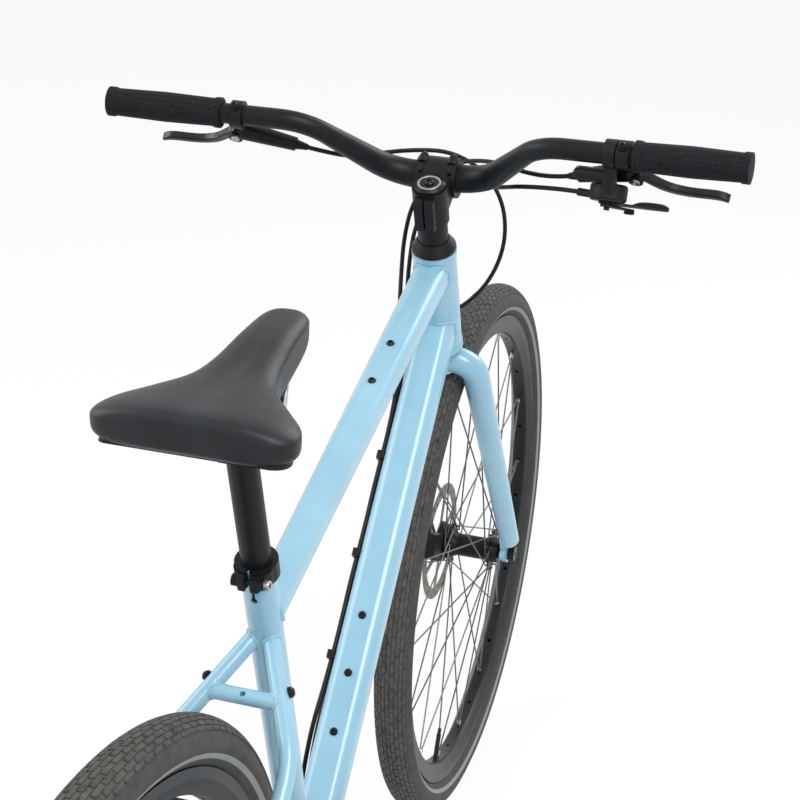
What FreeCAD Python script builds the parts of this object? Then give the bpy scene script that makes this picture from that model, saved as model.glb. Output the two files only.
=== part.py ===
import FreeCAD, Part
import math
import os

# A flat-bar hybrid bicycle with hydraulic disc brakes and a single chainring.
# Millimetres. X points forward, Y to the rider's left, Z up.
# The origin is on the ground, halfway between the two axles.

V = FreeCAD.Vector
SIDE = V(0, 1, 0)
UP = V(0, 0, 1)

# Fits
running_gap = 0.05          # radial clearance of a shaft in its bearing
seat_gap = 0.3              # clearance between faces that move past each other

# Wheels and tyres
wheelbase = 1090.0
bead_diameter = 622.0
tyre_width = 47.0
tyre_wall = 3.0
tyre_seat_gap = 0.1         # between the tyre and the rim it sits in
rim_width = 30.0
rim_depth = 19.0
rim_wall = 2.5
rim_flange_height = 6.0
rim_well = 3.0              # depth of the well below the bead seat
valve_length = 42.0         # inside the rim
valve_diameter = 6.2
valve_tip_length = 8.0
valve_tip_diameter = 4.8
front_valve_turn = 205.0
rear_valve_turn = 160.0
spoke_diameter = 2.0
spokes_per_wheel = 32
spoke_crossings = 3
nipple_diameter = 3.8
nipple_length = 13.0
rotor_diameter = 160.0
rotor_thickness = 1.8
rotor_band = 15.0
rotor_arms = 6
rotor_arm_width = 7.0
rotor_arm_lean = 24.0
rotor_vents = 18
rotor_vent_diameter = 4.8
rotor_bolt_circle = 44.0

# Hubs
axle_diameter = 12.0
hub_barrel_diameter = 30.0
flange_diameter = 55.0
flange_thickness = 3.4
flange_edge = 1.0           # thickness at the bevelled edge of a flange
spoke_inset = 2.5           # from the edge of a flange to its spoke holes
front_spacing = 100.0
rear_spacing = 135.0
front_rotor_inset = 10.7    # from the dropout face to the middle of the rotor
rear_rotor_inset = 15.3
front_left_flange = 22.0
front_right_flange = 34.0
rear_left_flange = 33.0
rear_right_flange = 20.0
end_cap_length = 6.0
end_cap_diameter = 20.0
axle_head_length = 9.0
axle_head_diameter = 20.0

# Frame
chainstay_length = 453.0
bottom_bracket_drop = 67.0
seat_tube_angle = 74.9
seat_tube_length = 453.0
seat_tube_diameter = 31.8
seat_post_diameter = 27.2
head_angle = 70.2
fork_rake = 46.0
axle_to_crown = 398.0
lower_stack = 4.0
cup_lip = 1.2                  # height of a headset cup above its tube
head_tube_length = 140.0
head_tube_diameter = 49.0
head_tube_bore = 44.0
top_tube_rear_drop = 65.0      # below the top of the seat tube, along it
top_tube_rear_height = seat_tube_length - top_tube_rear_drop
seat_stay_drop = 81.0          # below the top of the seat tube, along it
stay_foot_ahead = 28.0         # end of a seat stay, ahead of the rear axle
stay_foot_rise = 35.1810        # and above it
top_tube_drop = 27.0           # below the top of the head tube
top_tube_rear_width = 31.0
top_tube_front_width = 40.0
top_tube_depth = 34.0
down_tube_rise = 40.0          # above the bottom of the head tube
down_tube_width = 44.0
down_tube_depth = 36.0
main_tube_corner = 13.0
main_tube_wall = 2.0
seat_stay_diameter = 16.0
seat_stay_bend = 110.0
chain_stay_diameter = 17.0
bridge_diameter = 15.0
shell_width = 73.0
shell_diameter = 42.0
shell_bore = 34.0
dropout_thickness = 6.0
dropout_radius = 17.0
dropout_arm = 15.0
eyelet_drill = 4.2             # drilled for an M5 thread
hanger_bolt_bore = 5.05
hanger_width = 18.0
boss_spacing = 64.0
bolt_diameter = 5.0
bolt_head_diameter = 8.6
bolt_head_height = 3.0
bolt_length = 9.0

# Fork
steerer_diameter = 28.6
steerer_wall = 2.2
fork_top_diameter = 32.0
fork_tip_diameter = 26.0
fork_shoulder_bend = 26.0
fork_dropout_thickness = 7.0
crown_diameter = 36.0

# Headset, stem and handlebar
cover_height = 15.0
cover_diameter = 50.0
spacer_diameter = 34.0
spacer_heights = (15.0, 10.0)
stem_clamp_height = 44.0
stem_clamp_diameter = 39.0
stem_reach = 36.0
stem_front_width = 46.0
stem_front_diameter = 44.0
stem_slot = 2.0
stem_neck = (36.0, 40.0)       # width and depth beside the steerer
stem_nose = (40.0, 36.0)       # width and depth beside the bar
stem_corner = 9.0
stem_ear = (16.0, 22.0)        # depth and width of the split ear
faceplate_spread = 33.0        # between the bolts, along the bar
faceplate_lug = 11.0           # from the split to the seat of a faceplate bolt
faceplate_window = (20.0, 16.0)
clamp_bolt_hole = 2.5
faceplate_rim = 4.2            # from the bar's clamp to the middle of a faceplate bolt
cap_thickness = 5.0
steerer_recess = 0.5           # the steerer ends this far below the stem's top
bar_rise_above_head = 72.6
bar_clamp_diameter = 31.8
bar_grip_diameter = 22.2
bar_wall = 2.4
bar_bend = 60.0
bar_flat = 52.0                # half of the straight middle
bar_shoulder = V(-85, 127, 68) # where each arm bends back out, from the clamp
bar_tip_offset = V(-103, 344, 73)
left_grip_length = 128.0
right_grip_length = 118.0
grip_diameter = 31.0
grip_flange_diameter = 36.0
grip_flange_width = 5.0
grip_end_wall = 2.0

# Levers and shifter
left_lever_place = 201.0
right_lever_place = 219.0
shifter_place = 205.0
lever_tilt = 45.0              # below horizontal, seen from the side
lever_pivot_out = 8.0
lever_pivot_drop = 34.0
lever_length = 92.0
lever_pin_diameter = 5.0
lever_blade_width = 10.0
lever_cheek = 5.0              # each side of the pivot fork
clamp_width = 13.0
clamp_wall = 4.0
cylinder_length = 56.0
cylinder_spread = 16.0         # its hose end is this much farther from the bar
boot_length = 13.0
cylinder_radius = 10.5
cylinder_tip_radius = 7.5
hose_diameter = 5.0
hose_lead = 22.0               # straight length of a hose out of its lever
caliper_lead = 40.0            # straight length of a hose into its caliper
shifter_radius = 19.5
shifter_thickness = 18.0
shift_pin_diameter = 6.0
shift_lever_plate = 2.4

# Seat
post_insertion = 120.0
rail_height = 139.6409         # saddle rails above the top of the seat tube
post_wall = 2.6
collar_height = 17.0
collar_diameter = 39.0
rail_diameter = 7.0
rail_spacing = 44.0
rail_rise = 19.9223            # rails above the post's top
cradle_lower = 9.0
cradle_upper = 7.0
cradle_slit = 0.4             # between the two halves
saddle_setback = 2.7068        # middle of the saddle behind the clamp
saddle_shell = 5.0

# Drivetrain
chain_pitch = 12.7
roller_diameter = 7.75
chain_inner_width = 2.5
chain_plate = 1.0
chain_plate_height = 8.4
pin_diameter = 3.6
chainline = 48.1
ring_teeth = 40
cog_teeth = (34, 30, 26, 23, 20, 17, 14, 11)
driven_cog = 4
cog_spacing = 4.8
cog_thickness = 1.9
cog_windows = 5
pulley_teeth = 11
pulley_thickness = 1.9
pulley_holes = 5
cage_length = 80.0
upper_knuckle_radius = 10.0
lower_knuckle_radius = 9.6
cage_plate = 2.0
cage_half_gap = 5.2            # inside of each cage plate from the chain's middle
cage_stub_radius = 4.0
pulley_bolt_radius = 3.0
crank_length = 170.0
crank_angle = -45.0            # right arm, below horizontal
crank_thickness = 13.0
crank_root_width = 34.0
crank_tip_width = 26.0
spindle_diameter = 17.0
bolt_circle = 104.0
ring_bolts = 4
ring_windows = 8
spider_hub_radius = 20.0
spider_arm_width = 13.0
spider_end_radius = 8.0
spider_thickness = 5.0
pedal_axle_diameter = 9.0
pedal_length = 98.0
pedal_width = 92.0
pedal_thickness = 22.0
pedal_barrel = 10.0
pedal_rim = 9.0
stud_rows = 4
stud_margin = 14.0
stud_height = 1.5

# Points worked out from the driving sizes
tyre_radius = bead_diameter / 2 + tyre_width
rear_axle = V(-wheelbase / 2, 0, tyre_radius)
front_axle = V(wheelbase / 2, 0, tyre_radius)
chainstay_reach = math.sqrt(chainstay_length ** 2 - bottom_bracket_drop ** 2)
bottom_bracket = rear_axle + V(chainstay_reach, 0, -bottom_bracket_drop)
seat_way = V(-math.cos(math.radians(seat_tube_angle)), 0, math.sin(math.radians(seat_tube_angle)))
seat_top = bottom_bracket + seat_way * seat_tube_length
post_showing = (rail_height - rail_rise) / seat_way.z
post_top = seat_top + seat_way * post_showing
clamp_centre = V(post_top.x, 0, seat_top.z + rail_height)
saddle_middle = clamp_centre - V(saddle_setback, 0, 0)
steer_way = V(-math.cos(math.radians(head_angle)), 0, math.sin(math.radians(head_angle)))
steer_front = V(math.sin(math.radians(head_angle)), 0, math.cos(math.radians(head_angle)))
steer_foot = front_axle - steer_front * fork_rake
crown_race = steer_foot + steer_way * math.sqrt(axle_to_crown ** 2 - fork_rake ** 2)
head_bottom = crown_race + steer_way * lower_stack
head_top = head_bottom + steer_way * head_tube_length
bar_centre = head_top + steer_way * bar_rise_above_head + steer_front * stem_reach


def unit(vector):
    return vector * (1.0 / vector.Length)


def rod(start, end, radius):
    way = end - start
    return Part.makeCylinder(radius, way.Length, start, way)


def cone(start, end, start_radius, end_radius):
    way = end - start
    return Part.makeCone(start_radius, end_radius, way.Length, start, way)


def sleeve(start, end, outer, inner):
    return rod(start, end, outer).cut(rod(start, end, inner))


def fused(shapes):
    first, rest = shapes[0], shapes[1:]
    return first.multiFuse(rest).removeSplitter() if rest else first


def mirrored(shape):
    return shape.mirror(V(0, 0, 0), SIDE)


def both(shape):
    return [shape, mirrored(shape)]


def slab(corners, out):
    """A flat outline carried straight along a way."""
    return Part.Face(Part.makePolygon(corners + corners[:1])).extrude(out)


def edges_along(shape, way):
    """The straight edges of a shape that run along a way."""
    found = []
    for edge in shape.Edges:
        ends = [vertex.Point for vertex in edge.Vertexes]
        if len(ends) == 2 and abs(unit(ends[1] - ends[0]).dot(way)) > 0.9:
            found.append(edge)
    return found


def round_edges(shape):
    """The edges of a shape that close on themselves."""
    return [edge for edge in shape.Edges if len(edge.Vertexes) == 1]


def turned(base, way, across, outline):
    """A profile of (along, radius) points turned about the line from base."""
    points = [base + way * along + across * radius for along, radius in outline]
    face = Part.Face(Part.makePolygon(points + points[:1]))
    return face.revolve(base, way, 360)


def rounded_path(points, bend=None):
    """Straight runs joined by tangent arcs. Without a bend each arc is as large as its runs allow."""
    edges = []
    here = points[0]
    for before, corner, after in zip(points, points[1:], points[2:]):
        arriving = unit(corner - before)
        leaving = unit(after - corner)
        half_turn = arriving.getAngle(leaving) / 2
        run = min((corner - before).Length, (after - corner).Length)
        radius = bend or 0.45 * run / math.tan(half_turn)
        setback = radius * math.tan(half_turn)
        middle = corner + unit(leaving - arriving) * (radius / math.cos(half_turn) - radius)
        start = corner - arriving * setback
        end = corner + leaving * setback
        edges.append(Part.LineSegment(here, start).toShape())
        edges.append(Part.Arc(start, middle, end).toShape())
        here = end
    edges.append(Part.LineSegment(here, points[-1]).toShape())
    return Part.Wire(edges)


def tube(points, radius, bend=None):
    path = rounded_path(points, bend)
    ring = Part.Wire(Part.makeCircle(radius, points[0], points[1] - points[0]))
    return path.makePipeShell([ring], True, False)


def rounded_section(centre, across, upward, width, depth, corner):
    """A rectangle with round corners, as four lines and four arcs."""
    half_w = width / 2
    half_d = depth / 2
    edges = []
    diagonal = corner * (1 - math.sqrt(0.5))
    for sx, sy in ((1, 1), (-1, 1), (-1, -1), (1, -1)):
        on_side = centre + across * (sx * half_w) + upward * (sy * (half_d - corner))
        on_top = centre + across * (sx * (half_w - corner)) + upward * (sy * half_d)
        bulge = centre + across * (sx * (half_w - diagonal)) + upward * (sy * (half_d - diagonal))
        ends = (on_side, on_top) if sx * sy > 0 else (on_top, on_side)
        edges.append((ends[0], bulge, ends[1]))
    wire = []
    for index, (start, bulge, end) in enumerate(edges):
        wire.append(Part.Arc(start, bulge, end).toShape())
        wire.append(Part.LineSegment(end, edges[(index + 1) % 4][0]).toShape())
    return Part.Wire(wire)


def box_tube(start, end, start_width, end_width, depth, wall):
    """A hydroformed tube: a hollow loft between two rounded sections."""
    way = unit(end - start)
    upward = way.cross(SIDE)
    shells = []
    for inset in (0, wall):
        sections = []
        for point, width in ((start, start_width), (end, end_width)):
            size = (width - 2 * inset, depth - 2 * inset, main_tube_corner - inset)
            sections.append(rounded_section(point, SIDE, upward, *size))
        shells.append(Part.makeLoft(sections, True, True))
    return shells[0].cut(shells[1])


def bolt(seat, outward, head_radius=bolt_head_diameter / 2, head_height=bolt_head_height,
         shank=bolt_length, shank_radius=bolt_diameter / 2):
    """A button head bolt with its hexagon socket, seated under its head."""
    across = SIDE if abs(outward.dot(SIDE)) < 0.9 else V(1, 0, 0)
    across = unit(across - outward * across.dot(outward))
    outline = [(-shank, 0), (-shank, shank_radius), (0, shank_radius), (0, head_radius),
               (head_height * 0.45, head_radius), (head_height, head_radius * 0.6), (head_height, 0)]
    body = turned(seat, outward, across, outline)
    third = across.cross(outward)
    turns = [math.radians(60 * k) for k in range(6)]
    reach = head_radius * 0.38
    floor = seat + outward * (head_height * 0.25)
    corners = [floor + across * (reach * math.cos(t)) + third * (reach * math.sin(t)) for t in turns]
    socket = slab(corners, outward * head_height)
    return body.cut(socket)


# Wheels


def make_tyre(axle):
    half = tyre_width / 2
    middle = bead_diameter / 2 + half + 1.0
    crown = tyre_radius
    bead = bead_diameter / 2 + tyre_seat_gap
    lip = bead_diameter / 2 + rim_flange_height + tyre_seat_gap
    seat = rim_width / 2 - rim_wall - tyre_seat_gap

    def section(inset):
        side = half - inset
        top = crown - inset
        foot = seat - inset
        start = V(foot, 0, lip)
        waist = V(side, 0, middle)
        shoulder = V(side * 0.72, 0, crown - inset - half * 0.3)
        ridge = V(0, 0, top)
        right = [Part.LineSegment(V(foot, 0, bead), start).toShape(),
                 Part.Arc(start, V((foot + side) / 2 + 1.8, 0, (lip + middle) / 2 - 1.6), waist).toShape(),
                 Part.Arc(waist, shoulder, ridge).toShape()]
        return right

    def closed(inset):
        right = section(inset)
        left = [edge.mirror(V(0, 0, 0), V(1, 0, 0)) for edge in right]
        base = Part.LineSegment(V(seat - inset, 0, bead), V(-(seat - inset), 0, bead)).toShape()
        wire = Part.Wire(Part.__sortEdges__(right + left + [base]))
        return Part.Face(wire)

    solids = []
    for inset in (0, tyre_wall):
        face = closed(inset)
        face.rotate(V(0, 0, 0), UP, 90)
        solids.append(face.revolve(V(0, 0, 0), SIDE, 360))
    casing = solids[0].cut(solids[1])
    casing.translate(axle)
    return casing


def make_rim(axle, valve_turn):
    half = rim_width / 2
    seat_radius = bead_diameter / 2
    flange = seat_radius + rim_flange_height
    inner = seat_radius - rim_depth
    well = seat_radius - rim_well
    outline = [(-half, flange), (-half + rim_wall, flange), (-half + rim_wall, seat_radius),
               (-half + 2 * rim_wall, seat_radius), (-half / 2, well), (half / 2, well),
               (half - 2 * rim_wall, seat_radius), (half - rim_wall, seat_radius), (half - rim_wall, flange),
               (half, flange), (half, seat_radius - 4), (half * 0.62, inner + 1.5), (half * 0.4, inner),
               (-half * 0.4, inner), (-half * 0.62, inner + 1.5), (-half, seat_radius - 4)]
    cavity = [(-half + 2 * rim_wall, seat_radius - rim_wall), (half - 2 * rim_wall, seat_radius - rim_wall),
              (half * 0.62, inner + 2.2 * rim_wall), (half * 0.3, inner + rim_wall),
              (-half * 0.3, inner + rim_wall), (-half * 0.62, inner + 2.2 * rim_wall)]
    cavity = [(along, min(radius, well - rim_wall)) for along, radius in cavity]
    ring = turned(V(0, 0, 0), SIDE, UP, outline).cut(turned(V(0, 0, 0), SIDE, UP, cavity))
    drill = rod(V(0, 0, inner - 5), V(0, 0, inner + rim_wall + 3), nipple_diameter / 2 + 2 * seat_gap)
    for index in range(spokes_per_wheel):
        ring = ring.cut(drill.rotated(V(0, 0, 0), SIDE, index * 360.0 / spokes_per_wheel))
    tip_end = V(0, 0, inner - valve_length)
    tip_start = tip_end + UP * valve_tip_length
    stem = rod(tip_start, V(0, 0, seat_radius + 1), valve_diameter / 2)
    tip = rod(tip_end, tip_start, valve_tip_diameter / 2)
    valve = fused([stem, tip]).rotated(V(0, 0, 0), SIDE, valve_turn)
    ring = ring.cut(valve)
    for shape in (ring, valve):
        shape.translate(axle)
    return Part.makeCompound([ring, valve])


def spoke_circle():
    return flange_diameter / 2 - spoke_inset


def make_spokes(axle, left_flange, right_flange):
    """Spokes laced three-cross: each bends through its flange and leans along it to the rim."""
    solids = []
    radius = spoke_diameter / 2
    per_side = spokes_per_wheel // 2
    step = 360.0 / per_side
    rim_radius = bead_diameter / 2 - rim_depth
    lean = spoke_crossings * 2 * 360.0 / spokes_per_wheel
    offset = flange_thickness / 2 + radius + seat_gap
    for flange_place, side in ((left_flange, 1), (right_flange, -1)):
        for way, outer in ((1, 1), (-1, -1)):
            place = side * flange_place + outer * offset
            start = V(0, place, spoke_circle())
            half = 360.0 / spokes_per_wheel
            rim_turn = way * lean + (half if side < 0 else 0)
            rim_turn = math.radians(round(rim_turn / half) * half)
            end = V(rim_radius * math.sin(rim_turn), 0, rim_radius * math.cos(rim_turn))
            line = unit(end - start)
            wire = rod(start, end, radius)
            far_face = offset + flange_thickness / 2 + running_gap
            elbow = rod(start, start - SIDE * (outer * far_face), radius)
            seat = start - SIDE * (outer * far_face)
            head = rod(seat, seat - SIDE * (outer * 1.3), radius * 1.8)
            knee = Part.makeSphere(radius, start)
            inner_end = end - line * nipple_length * 0.8
            nipple = rod(inner_end, end + line * nipple_length * 0.2, nipple_diameter / 2)
            spoke = fused([wire, knee, elbow, head, nipple])
            skew = half if side < 0 else 0
            for index in range(per_side // 2):
                turn = index * 2 * step + (step if way < 0 else 0)
                solids.append(spoke.rotated(V(0, 0, 0), SIDE, turn + skew))
    group = Part.makeCompound(solids)
    group.translate(axle)
    return group


def make_hub(axle, low, high, left_flange, right_flange, rotor_place):
    """The hub shell between two ends, with drilled flanges and the rotor's six-bolt boss."""
    bore = axle_diameter / 2 + running_gap
    barrel = hub_barrel_diameter / 2
    edge = flange_diameter / 2
    half = flange_thickness / 2
    boss = rotor_bolt_circle / 2 + 5
    face = rotor_place - rotor_thickness / 2
    bevel = spoke_circle() - 1.5
    thin = flange_edge / 2
    outline = [(low, bore), (low, barrel), (-right_flange - half, barrel + 2), (-right_flange - half, bevel),
               (-right_flange - thin, edge), (-right_flange + thin, edge), (-right_flange + half, bevel),
               (-right_flange + half, barrel + 3), (-right_flange + 9, barrel), (left_flange - 9, barrel),
               (left_flange - half, barrel + 3), (left_flange - half, bevel), (left_flange - thin, edge),
               (left_flange + thin, edge), (left_flange + half, bevel), (left_flange + half, barrel + 3),
               (face - 5, boss), (face, boss), (face, barrel - 1), (high, barrel - 2), (high, bore)]
    shell = turned(V(0, 0, 0), SIDE, UP, outline)
    per_side = spokes_per_wheel // 2
    long_drill = flange_thickness + 2
    for place, skew in ((left_flange, 0), (-right_flange, 360.0 / spokes_per_wheel)):
        drill = rod(V(0, place - long_drill / 2, spoke_circle()), V(0, place + long_drill / 2, spoke_circle()),
                    spoke_diameter / 2 + running_gap)
        for index in range(per_side):
            shell = shell.cut(drill.rotated(V(0, 0, 0), SIDE, index * 360.0 / per_side + skew))
    shell.translate(axle)
    return shell


def make_rotor(axle, place, boss_radius):
    """A vented steel disc: a drilled band on six leaning arms, with its six bolts."""
    outer = rotor_diameter / 2
    inner = outer - rotor_band
    low = V(0, place - rotor_thickness / 2, 0)
    high = V(0, place + rotor_thickness / 2, 0)
    band = sleeve(low, high, outer, inner)
    centre = sleeve(low, high, rotor_bolt_circle / 2 + 6, boss_radius)
    shapes = [band, centre]
    for index in range(rotor_arms):
        arm = Part.makeBox(rotor_arm_width, rotor_thickness, inner - rotor_bolt_circle / 2 + 3,
                           V(-rotor_arm_width / 2, low.y, rotor_bolt_circle / 2 - 1))
        arm.rotate(V(0, 0, rotor_bolt_circle / 2), SIDE, rotor_arm_lean)
        shapes.append(arm.rotated(V(0, 0, 0), SIDE, index * 360.0 / rotor_arms))
    disc = fused(shapes)
    disc = disc.common(rod(low, high, outer))
    holes = []
    for index in range(rotor_vents):
        for ring, turn in ((inner + rotor_band * 0.3, 0), (inner + rotor_band * 0.7, 0.5)):
            slot = rod(low - SIDE + UP * ring, high + SIDE + UP * ring, rotor_vent_diameter / 2)
            holes.append(slot.rotated(V(0, 0, 0), SIDE, (index + turn) * 360.0 / rotor_vents))
    bolts = []
    for index in range(rotor_arms):
        seat = V(0, high.y, rotor_bolt_circle / 2)
        turn = index * 360.0 / rotor_arms + 12
        hole = rod(seat - SIDE * (rotor_thickness + 1), seat + SIDE, 2.6)
        holes.append(hole.rotated(V(0, 0, 0), SIDE, turn))
        bolts.append(bolt(seat, SIDE, 4.0, 2.4, rotor_thickness, 2.5).rotated(V(0, 0, 0), SIDE, turn))
    disc = disc.cut(Part.makeCompound(holes))
    group = Part.makeCompound([disc] + bolts)
    group.translate(axle)
    return group


def make_axle(axle, spacing, reach):
    """A through axle with the hub's two end caps and its two heads."""
    half = spacing / 2
    shaft = rod(axle - SIDE * (half + reach), axle + SIDE * (half + reach), axle_diameter / 2)
    shapes = [shaft]
    for side in (1, -1):
        face = axle + SIDE * (side * half)
        shapes.append(rod(face, face - SIDE * (side * end_cap_length), end_cap_diameter / 2))
        out = axle + SIDE * (side * (half + reach))
        shapes.append(rod(out, out + SIDE * (side * axle_head_length), axle_head_diameter / 2))
    body = fused(shapes)
    socket = rod(axle - SIDE * (half + reach + axle_head_length + 1),
                 axle - SIDE * (half + reach + axle_head_length - 5), 3.5)
    return body.cut(socket)


# Sprockets and chain


def pitch_radius(teeth):
    return chain_pitch / (2 * math.sin(math.pi / teeth))


def sprocket(teeth, thickness, centre, phase):
    """A toothed disc whose gaps are seats for the chain's rollers; phase is the angle of one gap."""
    pitch = pitch_radius(teeth)
    seat = roller_diameter / 2 + 0.18
    tip_radius = pitch + 2.9
    tip_half = 1.1
    opening = math.radians(70)
    half_step = math.pi / teeth
    low = centre.y - thickness / 2

    def at(radius, angle):
        return V(centre.x + radius * math.cos(angle), low, centre.z + radius * math.sin(angle))

    edges = []
    for index in range(teeth):
        angle = phase + index * 2 * half_step
        middle = at(pitch, angle)
        outward = at(pitch + 1, angle) - middle
        around = V(-outward.z, 0, outward.x)
        first = middle - outward * (seat * math.cos(opening)) - around * (seat * math.sin(opening))
        last = middle - outward * (seat * math.cos(opening)) + around * (seat * math.sin(opening))
        root = middle - outward * seat
        swing = half_step - tip_half / tip_radius
        before = at(tip_radius, angle - swing)
        after = at(tip_radius, angle + swing)
        following = at(tip_radius, angle + 2 * half_step - swing)
        edges.append(Part.LineSegment(before, first).toShape())
        edges.append(Part.Arc(first, root, last).toShape())
        edges.append(Part.LineSegment(last, after).toShape())
        edges.append(Part.LineSegment(after, following).toShape())
    return Part.Face(Part.Wire(edges)).extrude(SIDE * thickness)


def chain_plane(point):
    return V(point.x, -chainline, point.z)


guide_centre = chain_plane(rear_axle + V(14, 0, -92))


class Loop:
    """The chain's closed path in side view: four wrapped sprockets and the runs between them."""

    def __init__(self, cage_turn):
        self.tension = guide_centre + V(math.sin(cage_turn), 0, -math.cos(cage_turn)) * cage_length
        ring = (chain_plane(bottom_bracket), ring_teeth, -1)
        lower = (self.tension, pulley_teeth, -1)
        upper = (guide_centre, pulley_teeth, 1)
        cog = (chain_plane(rear_axle), cog_teeth[driven_cog], -1)
        wheels = [cog, ring, lower, upper]
        self.spans = []
        runs = [self.tangent(wheels[k], wheels[(k + 1) % 4]) for k in range(4)]
        for k in range(4):
            centre, teeth, sense = wheels[k]
            arrive = runs[k - 1][1]
            leave = runs[k][0]
            start = math.atan2(arrive.z - centre.z, arrive.x - centre.x)
            sweep = math.atan2(leave.z - centre.z, leave.x - centre.x) - start
            sweep = sweep % (2 * math.pi) if sense > 0 else -((-sweep) % (2 * math.pi))
            links = abs(sweep) * teeth / (2 * math.pi)
            self.spans.append(("arc", links, centre, pitch_radius(teeth), start, sweep))
            run = runs[k][1] - runs[k][0]
            self.spans.append(("run", run.Length / chain_pitch, runs[k][0], runs[k][1]))
        self.links = sum(span[1] for span in self.spans)

    def tangent(self, first, second):
        """The run from one sprocket to the next, for their senses of turning."""
        centre_a, teeth_a, sense_a = first
        centre_b, teeth_b, sense_b = second
        radius_a = pitch_radius(teeth_a) * sense_a
        radius_b = pitch_radius(teeth_b) * sense_b
        gap = centre_b - centre_a
        reach = gap.Length
        along = unit(gap)
        normal = V(-along.z, 0, along.x)
        sine = (radius_a - radius_b) / reach
        cosine = math.sqrt(1 - sine ** 2)
        foot = along * sine - normal * cosine
        return centre_a + foot * radius_a, centre_b + foot * radius_b

    def pin(self, count):
        """The place of one pin, counted in links along the loop."""
        count = count % self.links
        for span in self.spans:
            if count <= span[1]:
                break
            count -= span[1]
        share = count / span[1]
        if span[0] == "run":
            return span[2] + (span[3] - span[2]) * share
        angle = span[4] + span[5] * share
        return span[2] + V(math.cos(angle), 0, math.sin(angle)) * span[3]

    def phase(self, index, first_pin=0):
        """The angle of a roller that lies on one of the four sprockets."""
        before = sum(span[1] for span in self.spans[:2 * index])
        count = math.ceil(before - first_pin) + first_pin
        point = self.pin(count)
        centre = self.spans[2 * index][2]
        return math.atan2(point.z - centre.z, point.x - centre.x)


def settled_loop():
    """The cage angle at which the chain closes on an even number of links."""
    slack, tight = math.radians(-40), math.radians(40)
    links = 2 * round(Loop(0).links / 2)
    if Loop(slack).links > links:
        slack, tight = tight, slack
    for _ in range(60):
        middle = (slack + tight) / 2
        if Loop(middle).links < links:
            slack = middle
        else:
            tight = middle
    loop = Loop(tight)
    loop.links = links
    return loop, tight


def link_plate(start, end, place, height, thickness):
    """One figure-eight side plate between two pins."""
    along = unit(end - start)
    upward = V(-along.z, 0, along.x)
    half = height / 2
    waist = half * 0.72
    middle = (start + end) * 0.5
    shift = SIDE * place
    points = [start + upward * half, start - along * half, start - upward * half, middle - upward * waist,
              end - upward * half, end + along * half, end + upward * half, middle + upward * waist]
    points = [point + shift for point in points]
    edges = [Part.Arc(points[0], points[1], points[2]).toShape(),
             Part.Arc(points[2], points[3], points[4]).toShape(),
             Part.Arc(points[4], points[5], points[6]).toShape(),
             Part.Arc(points[6], points[7], points[0]).toShape()]
    return Part.Face(Part.Wire(edges)).extrude(SIDE * thickness)


def make_chain(loop):
    """Inner links with their rollers, and outer links with the pins that pass through them."""
    links = []
    inner_face = chain_inner_width / 2
    outer_face = inner_face + chain_plate + 0.15
    bushing = pin_diameter / 2 + 0.1
    for index in range(int(loop.links)):
        start = loop.pin(index)
        end = loop.pin((index + 1) % loop.links)
        if index % 2:
            shapes = [link_plate(start, end, side, chain_plate_height - 0.6, chain_plate)
                      for side in (outer_face, -outer_face - chain_plate)]
            reach = outer_face + chain_plate + 0.3
            shapes += [rod(pin - SIDE * reach, pin + SIDE * reach, pin_diameter / 2) for pin in (start, end)]
            links.append(shapes[0].multiFuse(shapes[1:]))
        else:
            shapes = [link_plate(start, end, side, chain_plate_height, chain_plate)
                      for side in (inner_face, -inner_face - chain_plate)]
            shapes += [rod(pin - SIDE * inner_face, pin + SIDE * inner_face, roller_diameter / 2)
                       for pin in (start, end)]
            body = shapes[0].multiFuse(shapes[1:])
            reach = inner_face + 2 * chain_plate
            bores = [rod(pin - SIDE * reach, pin + SIDE * reach, bushing) for pin in (start, end)]
            links.append(body.cut(Part.makeCompound(bores)))
    return Part.makeCompound(links)


# Frame tubes


def head_tube_solid():
    return rod(head_bottom, head_top, head_tube_diameter / 2)


def seat_tube_solid():
    return rod(bottom_bracket, seat_top, seat_tube_diameter / 2)


def shell_solid():
    half = SIDE * (shell_width / 2)
    return rod(bottom_bracket - half, bottom_bracket + half, shell_diameter / 2)


top_tube_start = bottom_bracket + seat_way * top_tube_rear_height
top_tube_end = head_top - steer_way * top_tube_drop
top_way = unit(top_tube_end - top_tube_start)
top_up = top_way.cross(SIDE)
down_tube_start = bottom_bracket - UP * 3
down_tube_end = head_bottom + steer_way * down_tube_rise
down_way = unit(down_tube_end - down_tube_start)
down_up = down_way.cross(SIDE)
dropout_middle = rear_spacing / 2 + dropout_thickness / 2
stay_root = bottom_bracket + seat_way * (seat_tube_length - seat_stay_drop) + V(3, 2, 0)
stay_end = rear_axle + V(stay_foot_ahead, dropout_middle, stay_foot_rise)
stay_slope = (stay_root.z - stay_end.z) / (stay_root.x - stay_end.x)
stay_run = V(-90, 55, -90 * stay_slope)
stay_bend_point = stay_root + stay_run
chain_stay_knee = bottom_bracket + V(-93, 38, 13.5)
chain_stay_end = rear_axle + V(36, dropout_middle, -5.5)
bridge_share = 0.60


def boss_bolts():
    """Seats and outward ways of the bolts on the top tube and the down tube."""
    seats = []
    top_first = 318.0
    for index in range(2):
        place = top_tube_start + top_way * (top_first + index * boss_spacing)
        seats.append((place + top_up * (top_tube_depth / 2), top_up))
    down_first = 156.0
    for index in range(3):
        seats.append((down_tube_start + down_way * (down_first + index * boss_spacing)
                      + down_up * (down_tube_depth / 2), down_up))
    return seats


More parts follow.
